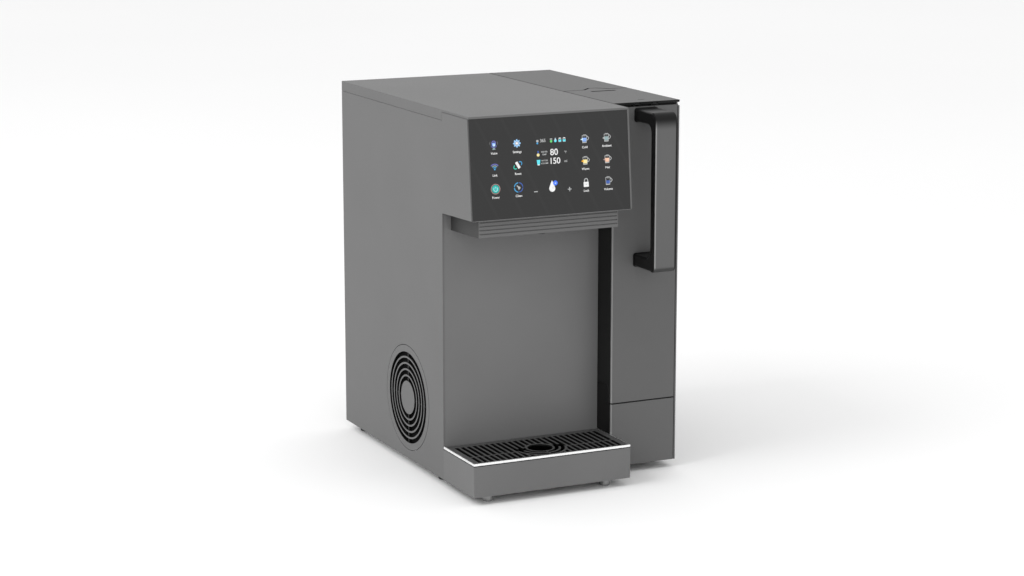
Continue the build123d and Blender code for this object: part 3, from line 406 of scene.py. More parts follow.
@dataclass(frozen=True)
class CircuitBoard(Finish):
    """Solder mask over copper tracks."""

    def build(self, graph: Graph) -> None:
        """Blocky tracks a little lighter than the mask."""
        tracks = graph.node("ShaderNodeTexVoronoi", distance="MANHATTAN", feature="DISTANCE_TO_EDGE")
        tracks.inputs["Scale"].default_value = 160.0
        graph.join(graph.place, "Object", tracks, "Vector")
        line = graph.remap(tracks, "Distance", (0.02, 0.06, 1.0, 0.0))
        mix = graph.node("ShaderNodeMix", data_type="RGBA")
        mix.inputs[6].default_value = (*self.colour, 1.0)
        mix.inputs[7].default_value = (*[min(1.0, c * 2.2 + 0.02) for c in self.colour], 1.0)
        graph.join(line, "Result", mix, "Factor")
        graph.join(mix, "Result", graph.shader, "Base Color")
        graph.set(Roughness=0.35)
        graph.bump(graph.noise(500.0), 0.00005, 0.4)


@dataclass(frozen=True)
class DustScreen(Finish):
    """Fine knitted screen behind the vent."""

    def build(self, graph: Graph) -> None:
        """Round pores a millimetre apart."""
        pores = graph.node("ShaderNodeTexVoronoi", feature="F1")
        pores.inputs["Scale"].default_value = 900.0
        pores.inputs["Randomness"].default_value = 0.15
        graph.join(graph.place, "Object", pores, "Vector")
        mix = graph.node("ShaderNodeMix", data_type="RGBA")
        mix.inputs[6].default_value = (0.0, 0.0, 0.0, 1.0)
        mix.inputs[7].default_value = (*self.colour, 1.0)
        graph.join(graph.remap(pores, "Distance", (0.25, 0.5, 0.0, 1.0)), "Result", mix, "Factor")
        graph.join(mix, "Result", graph.shader, "Base Color")
        graph.set(Roughness=0.9, Specular_IOR_Level=0.1)


# The case panels share one paint; the lighter and darker greys below are painted light and painted shade, set
# for each panel's tone under these lamps.
CASE_PAINT = TexturedPaint("case_paint", shade(100))
# Painted light: the bay and the head's underside get a lighter copy of the case paint, against the shade inside
# the bay.
BAY_PAINT = TexturedPaint("bay_paint", shade(110))
# Painted light: the tray housing gets a lighter copy of the case paint.
TRAY_PAINT = TexturedPaint("tray_paint", shade(106))
LEFT_PAINT = LinedPaint("left_paint", shade(101), low=0.4062, high=0.4072)
# Painted shade: the tank lid and filter cover get a darker copy of the case paint, for the light falling off
# across the top; their near-black sides are partly the black plastic under the painted tops, partly painted
# shade of the gaps beside them.
COVER_PAINT = FacePaint("cover_paint", shade(86), side=Side.UPRIGHT)
# Painted shade: the vent's slot walls, and every face past x = -0.1323 m, are near black for the shade in the
# slots.
GRILLE_PAINT = FacePaint("vent_paint", shade(101), side=Side.ACROSS, behind=-0.1323)
# Painted highlight: a light grey band along the left edge of the tank plate and the dock front, where the left
# light catches the edge.
LEFT_EDGE_HIGHLIGHT = ("X", 0.0536, 0.0530, 138.0)
# Painted shade: the tank plate goes near black above z = 0.4038 m, where its lugs sit in the gap under the lid.
PLATE_PAINT = LightAndShadePaint("plate_paint", shade(93), light_and_shade_bands=(LEFT_EDGE_HIGHLIGHT, ("Z", 0.4038, 0.4043, 12.0)))
DOCK_PAINT = LightAndShadePaint("dock_paint", shade(94), light_and_shade_bands=(LEFT_EDGE_HIGHLIGHT,))
BLACK = Moulding("black_plastic", shade(14), roughness=0.35, gloss=0.25)
TANK_BLACK = Moulding("tank_plastic", shade(27), roughness=0.45, grain=900.0, gloss=0.15)
PAN_BLACK = Moulding("pan_plastic", shade(5), roughness=0.5, gloss=0.15)
# Painted shade: the drip grille's bar walls and undersides are near black, for the shade between the bars.
GRILLE_SHADED = FacePaint("grille_plastic", shade(74), side=Side.UPRIGHT, dark_level=8.0)
# Painted shade: the dispensing block's faces that do not look along Y, its sides, top, underside and grooves,
# are dark grey.
GREY_BLOCK = FacePaint("block_plastic", shade(102), side=Side.ALONG, dark_level=50.0)
FEET_RUBBER = Moulding("foot_rubber", shade(48), roughness=0.8, grain=1200.0, relief=0.0001, gloss=0.2)
SEAL_RUBBER = Moulding("seal_rubber", shade(70), roughness=0.75, gloss=0.25)
VALVE_WHITE = Moulding("valve_plastic", shade(215), roughness=0.4)
FLOAT_RED = Moulding("float_foam", hue(190, 60, 48), roughness=0.8, grain=1500.0, relief=0.0001)
FILTER_WHITE = Moulding("filter_plastic", shade(232), roughness=0.25, gloss=0.5)
SILICONE = Moulding("hose_silicone", hue(222, 220, 210), roughness=0.35, gloss=0.5)
PUMP_BLACK = Moulding("pump_paint", shade(52), roughness=0.3, gloss=0.5)
FILM = Moulding("display_film", shade(20), roughness=0.2)
GLASS = TintedGlass("panel_glass", shade(48))
GLASS_EDGE = Moulding("glass_edge", shade(108), roughness=0.3, gloss=0.5)
RIM = Metal("tray_rim", shade(250), roughness=0.25, lay=(40.0, 1.0, 1.0))
STEEL = Metal("inner_steel", shade(190), roughness=0.35)
SCREWS = Metal("screw_steel", shade(200), roughness=0.25, lay=(1.0, 1.0, 1.0))
FINS = Metal("fin_aluminium", shade(215), roughness=0.3)
TRAY_FEET = Metal("tray_foot", shade(150), roughness=0.4, lay=(1.0, 1.0, 8.0))
BOARD = CircuitBoard("circuit_board", hue(22, 84, 44))
SCREEN = DustScreen("dust_screen", shade(12))


class Ink(Enum):
    """Colours of the lit signs on the control panel, with their layer on the glass."""

    WHITE = (hue(245, 245, 245), 1)
    SILVER = (hue(190, 192, 192), 0)
    DIM = (hue(120, 120, 122), 0)
    ICE = (hue(214, 240, 255), 2)
    BLUE = (hue(146, 184, 250), 1)
    PALE = (hue(160, 208, 250), 1)
    SKY = (hue(84, 172, 226), 0)
    CYAN = (hue(104, 232, 246), 1)
    TEAL = (hue(64, 214, 190), 0)
    AQUA = (hue(58, 190, 180), 1)
    INDIGO = (hue(116, 118, 190), 0)
    NAVY = (hue(74, 104, 178), 1)
    BALL = (hue(86, 132, 255), 2)
    ORANGE = (hue(255, 186, 48), 2)
    CREAM = (hue(252, 236, 170), 1)
    PEACH = (hue(248, 200, 172), 1)
    ROSE = (hue(176, 150, 146), 0)
    GREEN = (hue(120, 226, 130), 1)
    SLATE = (hue(150, 172, 174), 1)

    def finish(self) -> LitInk:
        """The ink's finish."""
        return LitInk(f"ink_{self.name.lower()}", self.value[0])

    def layer(self) -> int:
        """Order on the glass, from 0 at the back."""
        return self.value[1]


# ------------------------------------------------------------------ pieces
def add_piece(name: str, mesh: bmesh.types.BMesh, finish: Finish, body: str) -> bpy.types.Object:
    """Make a piece of a finished bmesh and join it to its body.

    Args:
        name: The piece's name.
        mesh: The bmesh, in the frame's place; it is freed.
        finish: Its finish.
        body: Body that it rides on.

    Returns:
        The new object.
    """
    data = bpy.data.meshes.new(name)
    bmesh.ops.recalc_face_normals(mesh, faces=mesh.faces[:])
    mesh.to_mesh(data)
    mesh.free()
    data.materials.append(finish.material())
    piece = bpy.data.objects.new(name, data)
    bpy.context.scene.collection.objects.link(piece)
    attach(piece, body)
    log.info("piece %s on %s: %d faces", name, body, len(data.polygons))
    return piece


def bevel_edges(mesh: bmesh.types.BMesh, edges: Iterable, width: float, segments: int = 3) -> None:
    """Round edges of a bmesh to a width, in metres."""
    bmesh.ops.bevel(
        mesh, geom=list(edges), offset=width, segments=segments, profile=0.5, affect="EDGES", material=-1
    )


def disc_between(
    mesh: bmesh.types.BMesh, radius: float, depth: float, matrix: Matrix, segments: int = 48
) -> list:
    """Add a closed disc or rod about the matrix's Z axis.

    Args:
        mesh: Target.
        radius: Radius in metres.
        depth: Length in metres.
        matrix: Place and direction.
        segments: Sides round it.

    Returns:
        Its vertices.
    """
    made = bmesh.ops.create_cone(
        mesh, cap_ends=True, segments=segments, radius1=radius, radius2=radius, depth=depth, matrix=matrix
    )
    return made["verts"]


class SubAssembly:
    """A group of CAD nodes that share finishes, and the pieces added to them."""

    finishes: dict[str, Finish] = {}

    def dress(self) -> None:
        """Give each CAD node of the group its finish."""
        for node, finish in self.finishes.items():
            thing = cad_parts[node]
            for holder in thing.material_slots:
                holder.material = finish.material()
            log.info("node %s: %s", node, finish.name)

    def build(self) -> None:
        """Make the group's own pieces."""


@dataclass
class Case(SubAssembly):
    """Outer panels, feet, vent and rear fittings."""

    screen_thickness: float = 0.6 * MM
    screen_gap: float = 0.2 * MM
    screen_margin: float = 2.0 * MM
    mark_size: tuple[float, float, float] = (0.7 * MM, 4.0 * MM, 0.3 * MM)
    mark_side: float = 3.6 * MM
    mark_depth: float = 0.9 * MM
    mark_turn: float = -19.5

    finishes = {
        "left_panel": LEFT_PAINT,
        "vent_grille": GRILLE_PAINT,
        "top_cover": CASE_PAINT,
        "right_panel": CASE_PAINT,
        "rear_panel": CASE_PAINT,
        "bay_panel": BAY_PAINT,
        "base_pan": STEEL,
        "partition_wall": STEEL,
        "filter_bay_wall": STEEL,
        "rear_screws": SCREWS,
        "power_inlet": BLACK,
        "power_switch_frame": BLACK,
        "power_rocker": BLACK,
        "drain_port": BLACK,
        "drain_plug": SEAL_RUBBER,
        "case_feet": FEET_RUBBER,
        "tray_feet": TRAY_FEET,
    }

    def build(self) -> None:
        """Dust screen behind the vent and the mark on the rocker."""
        low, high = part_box("vent_grille")
        middle = (low + high) / 2
        radius = (high.y - low.y) / 2 - self.screen_margin
        mesh = bmesh.new()
        x = high.x + self.screen_gap + self.screen_thickness / 2
        turn = Matrix.Translation((x, middle.y, middle.z)) @ Matrix.Rotation(math.pi / 2, 4, "Y")
        disc_between(mesh, radius, self.screen_thickness, turn, 96)
        add_piece("vent_dust_screen", mesh, SCREEN, "case")
        self.rocker_mark()

    def rocker_mark(self) -> None:
        """A bar, moulded on one half of the rocker."""
        _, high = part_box("power_rocker")
        frame_low, frame_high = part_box("power_switch_frame")
        middle = (frame_low + frame_high) / 2
        mesh = bmesh.new()
        seat = Matrix.Translation((middle.x - self.mark_side, high.y - self.mark_depth, middle.z))
        turn = Matrix.Rotation(math.radians(self.mark_turn), 4, "Z")
        face = seat @ turn @ Matrix.Rotation(math.pi / 2, 4, "X")
        bmesh.ops.create_cube(mesh, size=1.0, matrix=face @ Matrix.Diagonal((*self.mark_size, 1.0)))
        add_piece("rocker_mark", mesh, VALVE_WHITE, "power_rocker")


@dataclass
class Head(SubAssembly):
    """Head shell and dispensing block."""

    finishes = {
        "head_side": CASE_PAINT,
        "head_underside": BAY_PAINT,
        "panel_carrier": BLACK,
        "touch_board": BOARD,
        "display_module": FILM,
        "dispensing_block": GREY_BLOCK,
        "nozzle": BLACK,
        "control_glass": GLASS,
    }

    strip: float = 0.5 * MM
    strip_rise: float = 0.25 * MM
    strip_depth: float = 1.6 * MM

    def build(self) -> None:
        """Light edge round the glass."""
        sheet = PanelSheet()
        mesh = bmesh.new()
        width, height = sheet.width, sheet.height
        runs = (
            ((width - self.strip / 2, height / 2), (self.strip, height)),
            ((width / 2, self.strip / 2), (width, self.strip)),
        )
        for centre, size in runs:
            local = Matrix.Translation((centre[0], centre[1], self.strip_rise - self.strip_depth / 2))
            bmesh.ops.create_cube(mesh, size=1.0, matrix=local @ Matrix.Diagonal((*size, self.strip_depth, 1.0)))
        bmesh.ops.transform(mesh, matrix=sheet.matrix, verts=mesh.verts)
        add_piece("glass_edge", mesh, GLASS_EDGE, "case")


class PanelSheet:
    """The glass's face as a sheet: u to the right and v up from its lower left corner."""

    def __init__(self) -> None:
        """Find the face from the glass's bounds and a glass thickness of 3 mm."""
        low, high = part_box("control_glass")
        thickness = 3.0 * MM
        foot = Vector((low.x, low.y, low.z))
        head = Vector((low.x, high.y - thickness, high.z))
        self.width = high.x - low.x
        self.height = (head - foot).length
        up = (head - foot).normalized()
        out = Vector((1.0, 0.0, 0.0)).cross(up)
        turn = Matrix(((1.0, up.x, out.x), (0.0, up.y, out.y), (0.0, up.z, out.z))).to_4x4()
        self.matrix = Matrix.Translation(foot) @ turn


@dataclass
class ControlSigns:
    """Lit signs, words and digits on the control glass, in millimetres on the sheet."""

    thickness: float = 0.1
    lift: float = 0.03
    layer_step: float = 0.06
    columns: tuple[float, float, float, float] = (27.3, 53.5, 131.6, 157.4)
    rows: tuple[float, float, float] = (77.5, 54.9, 32.1)
    label_drop: float = 8.8
    label_height: float = 2.45
    outline: float = 0.75

    def __post_init__(self) -> None:
        """One bmesh for each ink."""
        self.sheet = PanelSheet()
        self.meshes: dict[Ink, bmesh.types.BMesh] = {}

    # -------------------------------------------------------- drawing
    def take(
        self, ink: Ink, data: bpy.types.Curve, squash: float = 1.0, at: Point = (0.0, 0.0)
    ) -> None:
        """Turn a curve or text into mesh and add it to an ink.

        Args:
            ink: Ink that takes it.
            data: Curve data in millimetres on the sheet; it is removed.
            squash: Factor on its thickness.
            at: Where the drawing's own origin goes.
        """
        holder = bpy.data.objects.new("drawing", data)
        bpy.context.scene.collection.objects.link(holder)
        bpy.context.view_layer.update()
        graph = bpy.context.evaluated_depsgraph_get()
        made = bpy.data.meshes.new_from_object(holder.evaluated_get(graph))
        height = self.lift + self.thickness / 2 + ink.layer() * self.layer_step
        made.transform(Matrix.Translation((*at, height)) @ Matrix.Diagonal((1.0, 1.0, squash, 1.0)))
        self.meshes.setdefault(ink, bmesh.new()).from_mesh(made)
        bpy.data.meshes.remove(made)
        bpy.data.objects.remove(holder)
        bpy.data.curves.remove(data)

    def curve(self, lines: Sequence[Sequence[Point]], closed: bool, kind: str) -> bpy.types.Curve:
        """Curve data of straight-run lines.

        Args:
            lines: Lists of points.
            closed: Whether each ends where it starts.
            kind: "2D" or "3D".

        Returns:
            The curve data.
        """
        data = bpy.data.curves.new("drawing", "CURVE")
        data.dimensions = kind
        for points in lines:
            spline = data.splines.new("POLY")
            spline.points.add(len(points) - 1)
            for at, (u, v) in zip(spline.points, points):
                at.co = (u, v, 0.0, 1.0)
            spline.use_cyclic_u = closed
        return data

    def fill(self, ink: Ink, *lines: Sequence[Point]) -> None:
        """Filled shape; a line inside another is a hole."""
        data = self.curve(lines, True, "2D")
        data.fill_mode = "BOTH"
        data.extrude = self.thickness / 2
        self.take(ink, data)

    def stroke(self, ink: Ink, points: Sequence[Point], width: float, closed: bool = False) -> None:
        """Line of a width with round ends."""
        data = self.curve([points], closed, "3D")
        data.bevel_depth = width / 2
        data.bevel_resolution = 2
        data.use_fill_caps = True
        self.take(ink, data, self.thickness / width)

    def words(self, ink: Ink, text: str, centre: Point, height: float, spread: float = 1.0) -> None:
        """Text about a centre, with capitals of a height."""
        data = bpy.data.curves.new("drawing", "FONT")
        data.body = text
        data.align_x, data.align_y = "CENTER", "CENTER"
        data.size = height / 0.73
        data.space_character = spread
        data.resolution_u = 3
        data.extrude = self.thickness / 2
        data.offset = height * 0.012
        self.take(ink, data, at=centre)

    # -------------------------------------------------------- outlines
    @staticmethod
    def arc(
        centre: Point, radius: float, start: float = 0.0, end: float = 360.0, steps: int = 28
    ) -> list[Point]:
        """Points of an arc, with angles in degrees; a full circle leaves out its last point."""
        full = abs(end - start) >= 359.9
        count = steps if full else steps + 1
        angles = [math.radians(start + (end - start) * n / steps) for n in range(count)]
        return [(centre[0] + radius * math.cos(a), centre[1] + radius * math.sin(a)) for a in angles]

    def box(self, centre: Point, size: Point, radius: float = 0.0) -> list[Point]:
        """Rectangle with round corners."""
        half_u, half_v = size[0] / 2 - radius, size[1] / 2 - radius
        points: list[Point] = []
        for n, (su, sv) in enumerate(((1, 1), (-1, 1), (-1, -1), (1, -1))):
            corner = (centre[0] + su * half_u, centre[1] + sv * half_v)
            points += self.arc(corner, radius, n * 90.0, n * 90.0 + 90.0, 5) if radius else [corner]
        return points

    # -------------------------------------------------------- signs
    def voice(self, u: float, v: float) -> None:
        """Microphone on its stand, with sound marks beside it."""
        self.stroke(Ink.INDIGO, self.arc((u, v + 1.9), 2.0), 1.0, True)
        self.fill(Ink.BLUE, self.arc((u, v + 0.2), 2.1))
        self.fill(Ink.ICE, self.arc((u + 0.3, v - 0.2), 1.2))
        self.stroke(Ink.INDIGO, self.arc((u, v + 0.4), 3.3, 200.0, 340.0, 12), 0.7)
        self.fill(Ink.SLATE, [(u - 0.6, v - 2.9), (u + 0.6, v - 2.9), (u + 1.9, v - 4.9), (u - 1.9, v - 4.9)])
        for side in (-1, 1):
            sound = [(u + side * 3.7, v + 3.4), (u + side * 4.5, v + 1.6), (u + side * 4.0, v)]
            self.stroke(Ink.DIM, sound, 0.5)

    def link(self, u: float, v: float) -> None:
        """Fan of three arcs over a dot."""
        centre = (u, v - 2.6)
        for ink, radius in ((Ink.SKY, 2.0), (Ink.SLATE, 3.7), (Ink.INDIGO, 5.4)):
            self.stroke(ink, self.arc(centre, radius, 42.0, 138.0, 10), 1.0)
        self.fill(Ink.SKY, self.arc(centre, 0.9))

    def power(self, u: float, v: float) -> None:
        """Ring, disc and power mark."""
        self.stroke(Ink.ROSE, self.arc((u, v), 5.0, steps=40), 0.7, True)
        self.fill(Ink.AQUA, self.arc((u, v), 4.1, steps=36))
        self.stroke(Ink.ICE, self.arc((u, v - 0.2), 2.1, 128.0, 412.0), 0.55)
        self.stroke(Ink.ICE, [(u, v + 0.8), (u, v + 2.3)], 0.5)

    def settings(self, u: float, v: float) -> None:
        """Gear with eight teeth."""
        teeth: list[Point] = []
        for n in range(8):
            for offset, radius in ((-14.0, 3.2), (-8.5, 4.3), (8.5, 4.3), (14.0, 3.2)):
                angle = math.radians(45.0 * n + offset)
                teeth.append((u + radius * math.cos(angle), v + radius * math.sin(angle)))
        self.fill(Ink.PALE, teeth, self.arc((u, v), 1.9))
        self.stroke(Ink.ROSE, self.arc((u, v), 1.8), 0.5, True)
        self.fill(Ink.WHITE, self.arc((u, v), 1.35))

    def reset(self, u: float, v: float) -> None:
        """Capsule between two turning arrows."""
        self.fill(Ink.WHITE, [(u - 3.0, v + 2.7), (u - 0.4, v + 4.0), (u + 3.2, v - 2.2), (u + 0.8, v - 3.8)])
        self.stroke(Ink.SKY, self.arc((u + 2.9, v + 1.8), 1.8, -60.0, 130.0), 0.9)
        self.stroke(Ink.TEAL, self.arc((u - 2.7, v - 1.9), 1.8, 110.0, 320.0), 0.9)

    def clean(self, u: float, v: float) -> None:
        """Broken ring round a brush."""
        for ink, start in ((Ink.SKY, 95.0), (Ink.NAVY, 5.0), (Ink.SKY, 185.0), (Ink.NAVY, 275.0)):
            self.stroke(ink, self.arc((u, v), 4.8, start, start + 78.0, 12), 0.95)
        self.stroke(Ink.SILVER, [(u - 1.9, v + 2.0), (u + 0.3, v - 0.2)], 1.1)
        brush = [(u - 0.9, v - 0.4), (u + 0.7, v + 1.2), (u + 2.3, v - 0.6), (u + 0.2, v - 2.7)]
        self.fill(Ink.SILVER, brush)

    def mug(self, u: float, v: float, water: Ink, badge: Ink, level: float = 1.0) -> None:
        """Mug with a handle, its water and a badge beside it.

        Args:
            u: Centre to the right.
            v: Centre upwards.
            water: Ink of the water.
            badge: Ink of the badge at its left.
            level: Height of the water over the mug's middle.
        """
        wall = [(u - 2.7, v + 3.4), (u - 2.3, v - 4.0), (u + 2.0, v - 4.0), (u + 2.7, v + 3.4)]
        self.stroke(Ink.SILVER, wall, self.outline, True)
        self.stroke(Ink.SILVER, [(u - 1.6, v + 4.1), (u + 1.9, v + 4.1)], 0.55)
        self.stroke(Ink.DIM, [(u - 1.3, v + 2.2), (u + 1.2, v + 2.2)], 0.5)
        self.fill(water, [(u - 2.5, v + level), (u - 2.2, v - 3.0), (u + 1.9, v - 3.0), (u + 2.3, v + level)])
        self.fill(Ink.SILVER, self.box((u - 0.1, v - 3.8), (3.9, 1.0), 0.3))
        grip = [(u + 2.3, v + 2.7), (u + 4.0, v + 2.0), (u + 4.9, v + 0.5)]
        grip += [(u + 3.9, v - 1.1), (u + 2.2, v - 1.5)]
        self.stroke(Ink.SILVER, grip, self.outline)
        if badge is not water:
            self.fill(badge, [(u - 4.9, v - 0.4), (u - 1.9, v + 0.9), (u - 2.1, v - 1.9)])

    def lock(self, u: float, v: float) -> None:
        """Padlock."""
        self.fill(Ink.WHITE, self.box((u, v - 2.2), (5.9, 5.2), 0.5))
        shackle = [(u - 1.9, v + 0.4)] + self.arc((u, v + 2.0), 1.9, 180.0, 0.0, 12) + [(u + 1.9, v + 0.4)]
        self.stroke(Ink.SILVER, shackle, 1.0)
        self.fill(Ink.SLATE, self.arc((u, v - 2.1), 0.55))

    def drop(self, u: float, v: float) -> None:
        """Large drop with a ball at its shoulder, and the signs for less and more."""
        round_part = self.arc((u, v - 1.6), 3.5, -205.0, 25.0, 26)
        self.fill(Ink.WHITE, round_part + [(u + 0.25, v + 6.6), (u - 0.25, v + 6.6)])
        self.stroke(Ink.CYAN, self.arc((u, v - 1.6), 3.2, 225.0, 315.0, 12), 0.5)
        self.fill(Ink.BALL, self.arc((u + 3.7, v + 3.8), 2.6))
        self.fill(Ink.ICE, self.arc((u + 3.9, v + 3.6), 0.9))
        for at in (u - 18.9, u + 20.1):
            self.stroke(Ink.SILVER, [(at - 2.1, v - 3.7), (at + 2.1, v - 3.7)], 0.9)
        self.stroke(Ink.SILVER, [(u + 20.1, v - 1.5), (u + 20.1, v - 5.9)], 0.9)

    def readout(self) -> None:
        """Filter days, status row, temperature and volume."""
        top, middle, low = 78.4, 65.6, 56.4
        self.fill(Ink.SILVER, self.box((77.0, top), (2.4, 2.2), 0.3))
        self.fill(Ink.SKY, self.arc((76.9, top - 2.3), 1.0))
        self.words(Ink.SILVER, "365", (83.2, top), 3.5, 0.92)
        for n, u in enumerate((92.8, 97.7, 102.9, 107.9)):
            if n == 0:
                self.fill(Ink.SILVER, self.box((u, top + 1.2), (2.8, 1.0), 0.2))
                self.fill(Ink.GREEN, self.arc((u, top - 1.1), 1.35))
            elif n == 1:
                self.fill(Ink.CYAN, self.arc((u, top - 0.9), 1.5))
                self.fill(Ink.ICE, [(u - 1.2, top - 0.4), (u, top + 2.4), (u + 1.2, top - 0.4)])
            else:
                self.fill(Ink.CYAN, self.box((u, top - 1.0), (3.0, 2.2), 0.4))
                self.stroke(Ink.SILVER, self.box((u, top - 0.4), (2.9, 3.6), 0.4), 0.45, True)
                self.fill(Ink.WHITE, self.box((u, top + 1.5), (2.1, 1.1), 0.2))
        self.stroke(Ink.NAVY, [(77.3, middle + 2.6), (77.3, middle)], 1.5)
        self.fill(Ink.CREAM, self.arc((77.3, middle - 1.6), 1.6))
        self.fill(Ink.CYAN, [(75.4, low + 2.5), (76.0, low - 2.4), (78.9, low - 2.4), (79.5, low + 2.5)])
        self.fill(Ink.WHITE, self.box((77.45, low - 2.6), (2.6, 1.0), 0.3))
        titles = (("WATER", middle + 1.2), ("TEMP", middle - 1.6))
        titles += (("WATER", low + 1.3), ("VOLUME", low - 1.5))
        for text, v in titles:
            self.words(Ink.SILVER, text, (84.4, v), 1.65, 0.95)
        self.words(Ink.WHITE, "80", (95.7, middle + 0.1), 6.9, 0.98)
        self.words(Ink.WHITE, "150", (96.2, low + 0.2), 6.6, 0.95)
        self.words(Ink.SILVER, "°F", (108.8, middle - 0.5), 2.5)
        self.words(Ink.SILVER, "ml", (108.9, low - 0.6), 2.6)

    def build(self) -> None:
        """Draw every sign and make one piece for each ink."""
        left, second, third, right = self.columns
        first, middle, last = self.rows
        self.voice(left, first)
        self.link(left, middle)
        self.power(left, last)
        self.settings(second, first)
        self.reset(second, middle)
        self.clean(second, last)
        self.mug(third, first, Ink.BLUE, Ink.ICE)
        self.mug(third, middle, Ink.CREAM, Ink.ORANGE)
        self.lock(third, last)
        self.mug(right, first, Ink.SLATE, Ink.SILVER)
        self.mug(right, middle, Ink.PEACH, Ink.ROSE)
        self.mug(right, last, Ink.NAVY, Ink.NAVY, 0.2)
        names = (("Voice", "Link", "Power"), ("Settings", "Reset", "Clean"))
        names += (("Cold", "Warm", "Lock"), ("Ambient", "Hot", "Volume"))
        for u, column in zip(self.columns, names):
            for v, text in zip(self.rows, column):
                self.words(Ink.WHITE, text, (u, v - self.label_drop), self.label_height, 0.97)
        self.drop(92.0, 30.0)
        self.readout()
        scale = self.sheet.matrix @ Matrix.Scale(MM, 4)
        for ink, mesh in self.meshes.items():
            bmesh.ops.transform(mesh, matrix=scale, verts=mesh.verts)
            add_piece(f"sign_{ink.name.lower()}", mesh, ink.finish(), "case")


@dataclass
class Tray(SubAssembly):
    """Drip tray."""

    finishes = {
        "tray_housing": TRAY_PAINT,
        "drip_pan": PAN_BLACK,
        "tray_rim": RIM,
        "drip_grille": GRILLE_SHADED,
        "tray_float": BLACK,
    }


@dataclass
class Tank(SubAssembly):
    """Pull-out tank with its lid, handle and valves, and the dock under it."""

    pad: float = 1.0 * MM
    arm: float = 13.5 * MM

    finishes = {
        "dock_front": DOCK_PAINT,
        "tank_dock": BLACK,
        "dock_valve": VALVE_WHITE,
        "tank_body": TANK_BLACK,
        "tank_plate": PLATE_PAINT,
        "outlet_valve": VALVE_WHITE,
        "outlet_poppet": SEAL_RUBBER,
        "hinge_pins": SCREWS,
        "level_float": FLOAT_RED,
        "tank_lid": COVER_PAINT,
        "lid_liner": BLACK,
        "lid_seal": SEAL_RUBBER,
        "tank_handle": BLACK,
        "handle_screws": SCREWS,
    }

    def dress(self) -> None:
        """Finishes of the nodes, with the bow's paint, whose painted highlight and painted shade are placed from
        its size.
        """
        low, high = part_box("handle_face")
        # Painted light on the bow's face, each as (axis, start, full, grey level):
        light_and_shade_bands = (
            # painted highlight along the left edge
            ("X", low.x + 1.1 * MM, low.x + 0.7 * MM, 142.0),
            # painted shade on the rounding at the foot
            ("Z", low.z + 6.5 * MM, low.z + 3.0 * MM, 54.0),
            # painted shade and dark reflection towards the top corner, near black at the top
            ("Z", high.z - 19.0 * MM, high.z - 6.0 * MM, 6.0),
            # near-black strip at the right edge: painted shade of the rounded edge, and the black core showing
            # there
            ("X", high.x - 1.6 * MM, high.x - 1.2 * MM, 8.0),
            # near-black line along the foot, painted shade
            ("Z", low.z + 1.6 * MM, low.z + 1.0 * MM, 8.0),
        )
        bow = LightAndShadePaint("bow_shaded_paint", shade(93), light_and_shade_bands=light_and_shade_bands)
        self.finishes = {**self.finishes, "handle_face": bow}
        super().dress()

    def build(self) -> None:
        """Pads under the bow's two arms."""
        low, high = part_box("tank_handle")
        middle = (low.x + high.x) / 2
        mesh = bmesh.new()
        for z in (low.z + self.arm / 2, high.z - self.arm / 2):
            size = (high.x - low.x + 2 * self.pad, self.pad, self.arm + 2 * self.pad, 1.0)
            place = Matrix.Translation((middle, high.y - self.pad / 2, z)) @ Matrix.Diagonal(size)
            made = bmesh.ops.create_cube(mesh, size=1.0, matrix=place)
            edges = {edge for vert in made["verts"] for edge in vert.link_edges}
            upright = [e for e in edges if abs((e.verts[0].co - e.verts[1].co).y) > self.pad / 2]
            bevel_edges(mesh, upright, 3.0 * MM, 4)
        add_piece("bow_pads", mesh, BLACK, "tank")


@dataclass
class Works(SubAssembly):
    """Filters, pump, heater, cooler, fan and boards inside the case."""

    finishes = {
        "filter_cover": COVER_PAINT,
        "filter_manifold": VALVE_WHITE,
        "sediment_filter": FILTER_WHITE,
        "membrane_filter": FILTER_WHITE,
        "fan_frame": BLACK,
        "fan_rotor": BLACK,
        "heat_sink": FINS,
        "cooler_module": VALVE_WHITE,
        "cold_tank": VALVE_WHITE,
        "booster_pump": PUMP_BLACK,
        "water_heater": STEEL,
        "power_supply": FINS,
        "main_board": BOARD,
        "solenoid_valves": PUMP_BLACK,
        "hot_hose": SILICONE,
    }


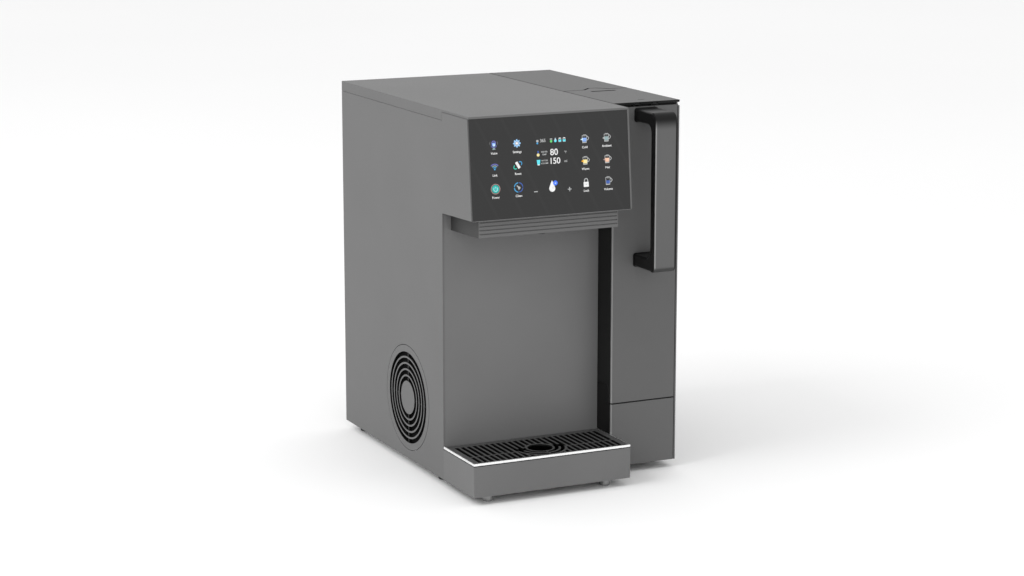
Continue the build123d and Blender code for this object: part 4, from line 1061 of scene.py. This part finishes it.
@dataclass
class Studio:
    """Camera, floor and soft lights."""

    azimuth: float = 25.41
    elevation: float = 11.55
    distance: float = 2.75
    aim: Place = (0.0039, 0.0149, 0.1857)
    lens: float = 85.84
    floor_size: float = 30.0

    def camera(self) -> None:
        """Camera that looks at the aim from the given direction."""
        az, el = math.radians(self.azimuth), math.radians(self.elevation)
        ahead = Vector((math.sin(az) * math.cos(el), math.cos(az) * math.cos(el), -math.sin(el)))
        data = bpy.data.cameras.new("camera")
        data.lens = self.lens
        data.sensor_width = 36.0
        data.clip_end = 100.0
        eye = bpy.data.objects.new("camera", data)
        eye.location = Vector(self.aim) - self.distance * ahead
        eye.rotation_euler = Euler((math.pi / 2 - el, 0.0, -az))
        bpy.context.scene.collection.objects.link(eye)
        bpy.context.scene.camera = eye

    def lamp(self, name: str, at: Place, size: float, power: float) -> None:
        """Square soft light aimed at the machine.

        Args:
            name: The light's name.
            at: Its place in metres.
            size: Its side in metres.
            power: Its power in watts.
        """
        data = bpy.data.lights.new(name, "AREA")
        data.shape = "SQUARE"
        data.size = size
        data.energy = power
        light = bpy.data.objects.new(name, data)
        light.location = at
        toward = Vector((0.0, 0.0, 0.2)) - Vector(at)
        light.rotation_euler = toward.to_track_quat("-Z", "Y").to_euler()
        bpy.context.scene.collection.objects.link(light)

    def build(self) -> None:
        """Camera, world, floor and lights."""
        self.camera()
        world = bpy.data.worlds.new("studio")
        world.use_nodes = True
        world.node_tree.nodes["Background"].inputs["Color"].default_value = (1.0, 1.0, 1.0, 1.0)
        world.node_tree.nodes["Background"].inputs["Strength"].default_value = 1.0
        bpy.context.scene.world = world
        bpy.context.scene.view_settings.view_transform = "Standard"
        mesh = bmesh.new()
        bmesh.ops.create_grid(mesh, x_segments=1, y_segments=1, size=self.floor_size)
        data = bpy.data.meshes.new("floor")
        mesh.to_mesh(data)
        mesh.free()
        white = Graph("floor_white")
        cloud = white.noise(0.5)
        white.join(white.mottle(shade(247), cloud, 0.01), "Result", white.shader, "Base Color")
        white.set(Roughness=0.9, Specular_IOR_Level=0.1)
        data.materials.append(white.material)
        floor = bpy.data.objects.new("floor", data)
        bpy.context.scene.collection.objects.link(floor)
        self.lamp("key", (-2.4, -0.3, 2.4), 1.6, 36.0)
        self.lamp("fill", (-0.5, -2.6, 0.9), 1.2, 5.0)


def main() -> None:
    """Build the studio and every sub-assembly."""
    Studio().build()
    for part in (Case(), Head(), Tray(), Tank(), Works()):
        part.dress()
        part.build()
        log.info("built %s", type(part).__name__)
    ControlSigns().build()


if __name__ == "__main__":
    main()
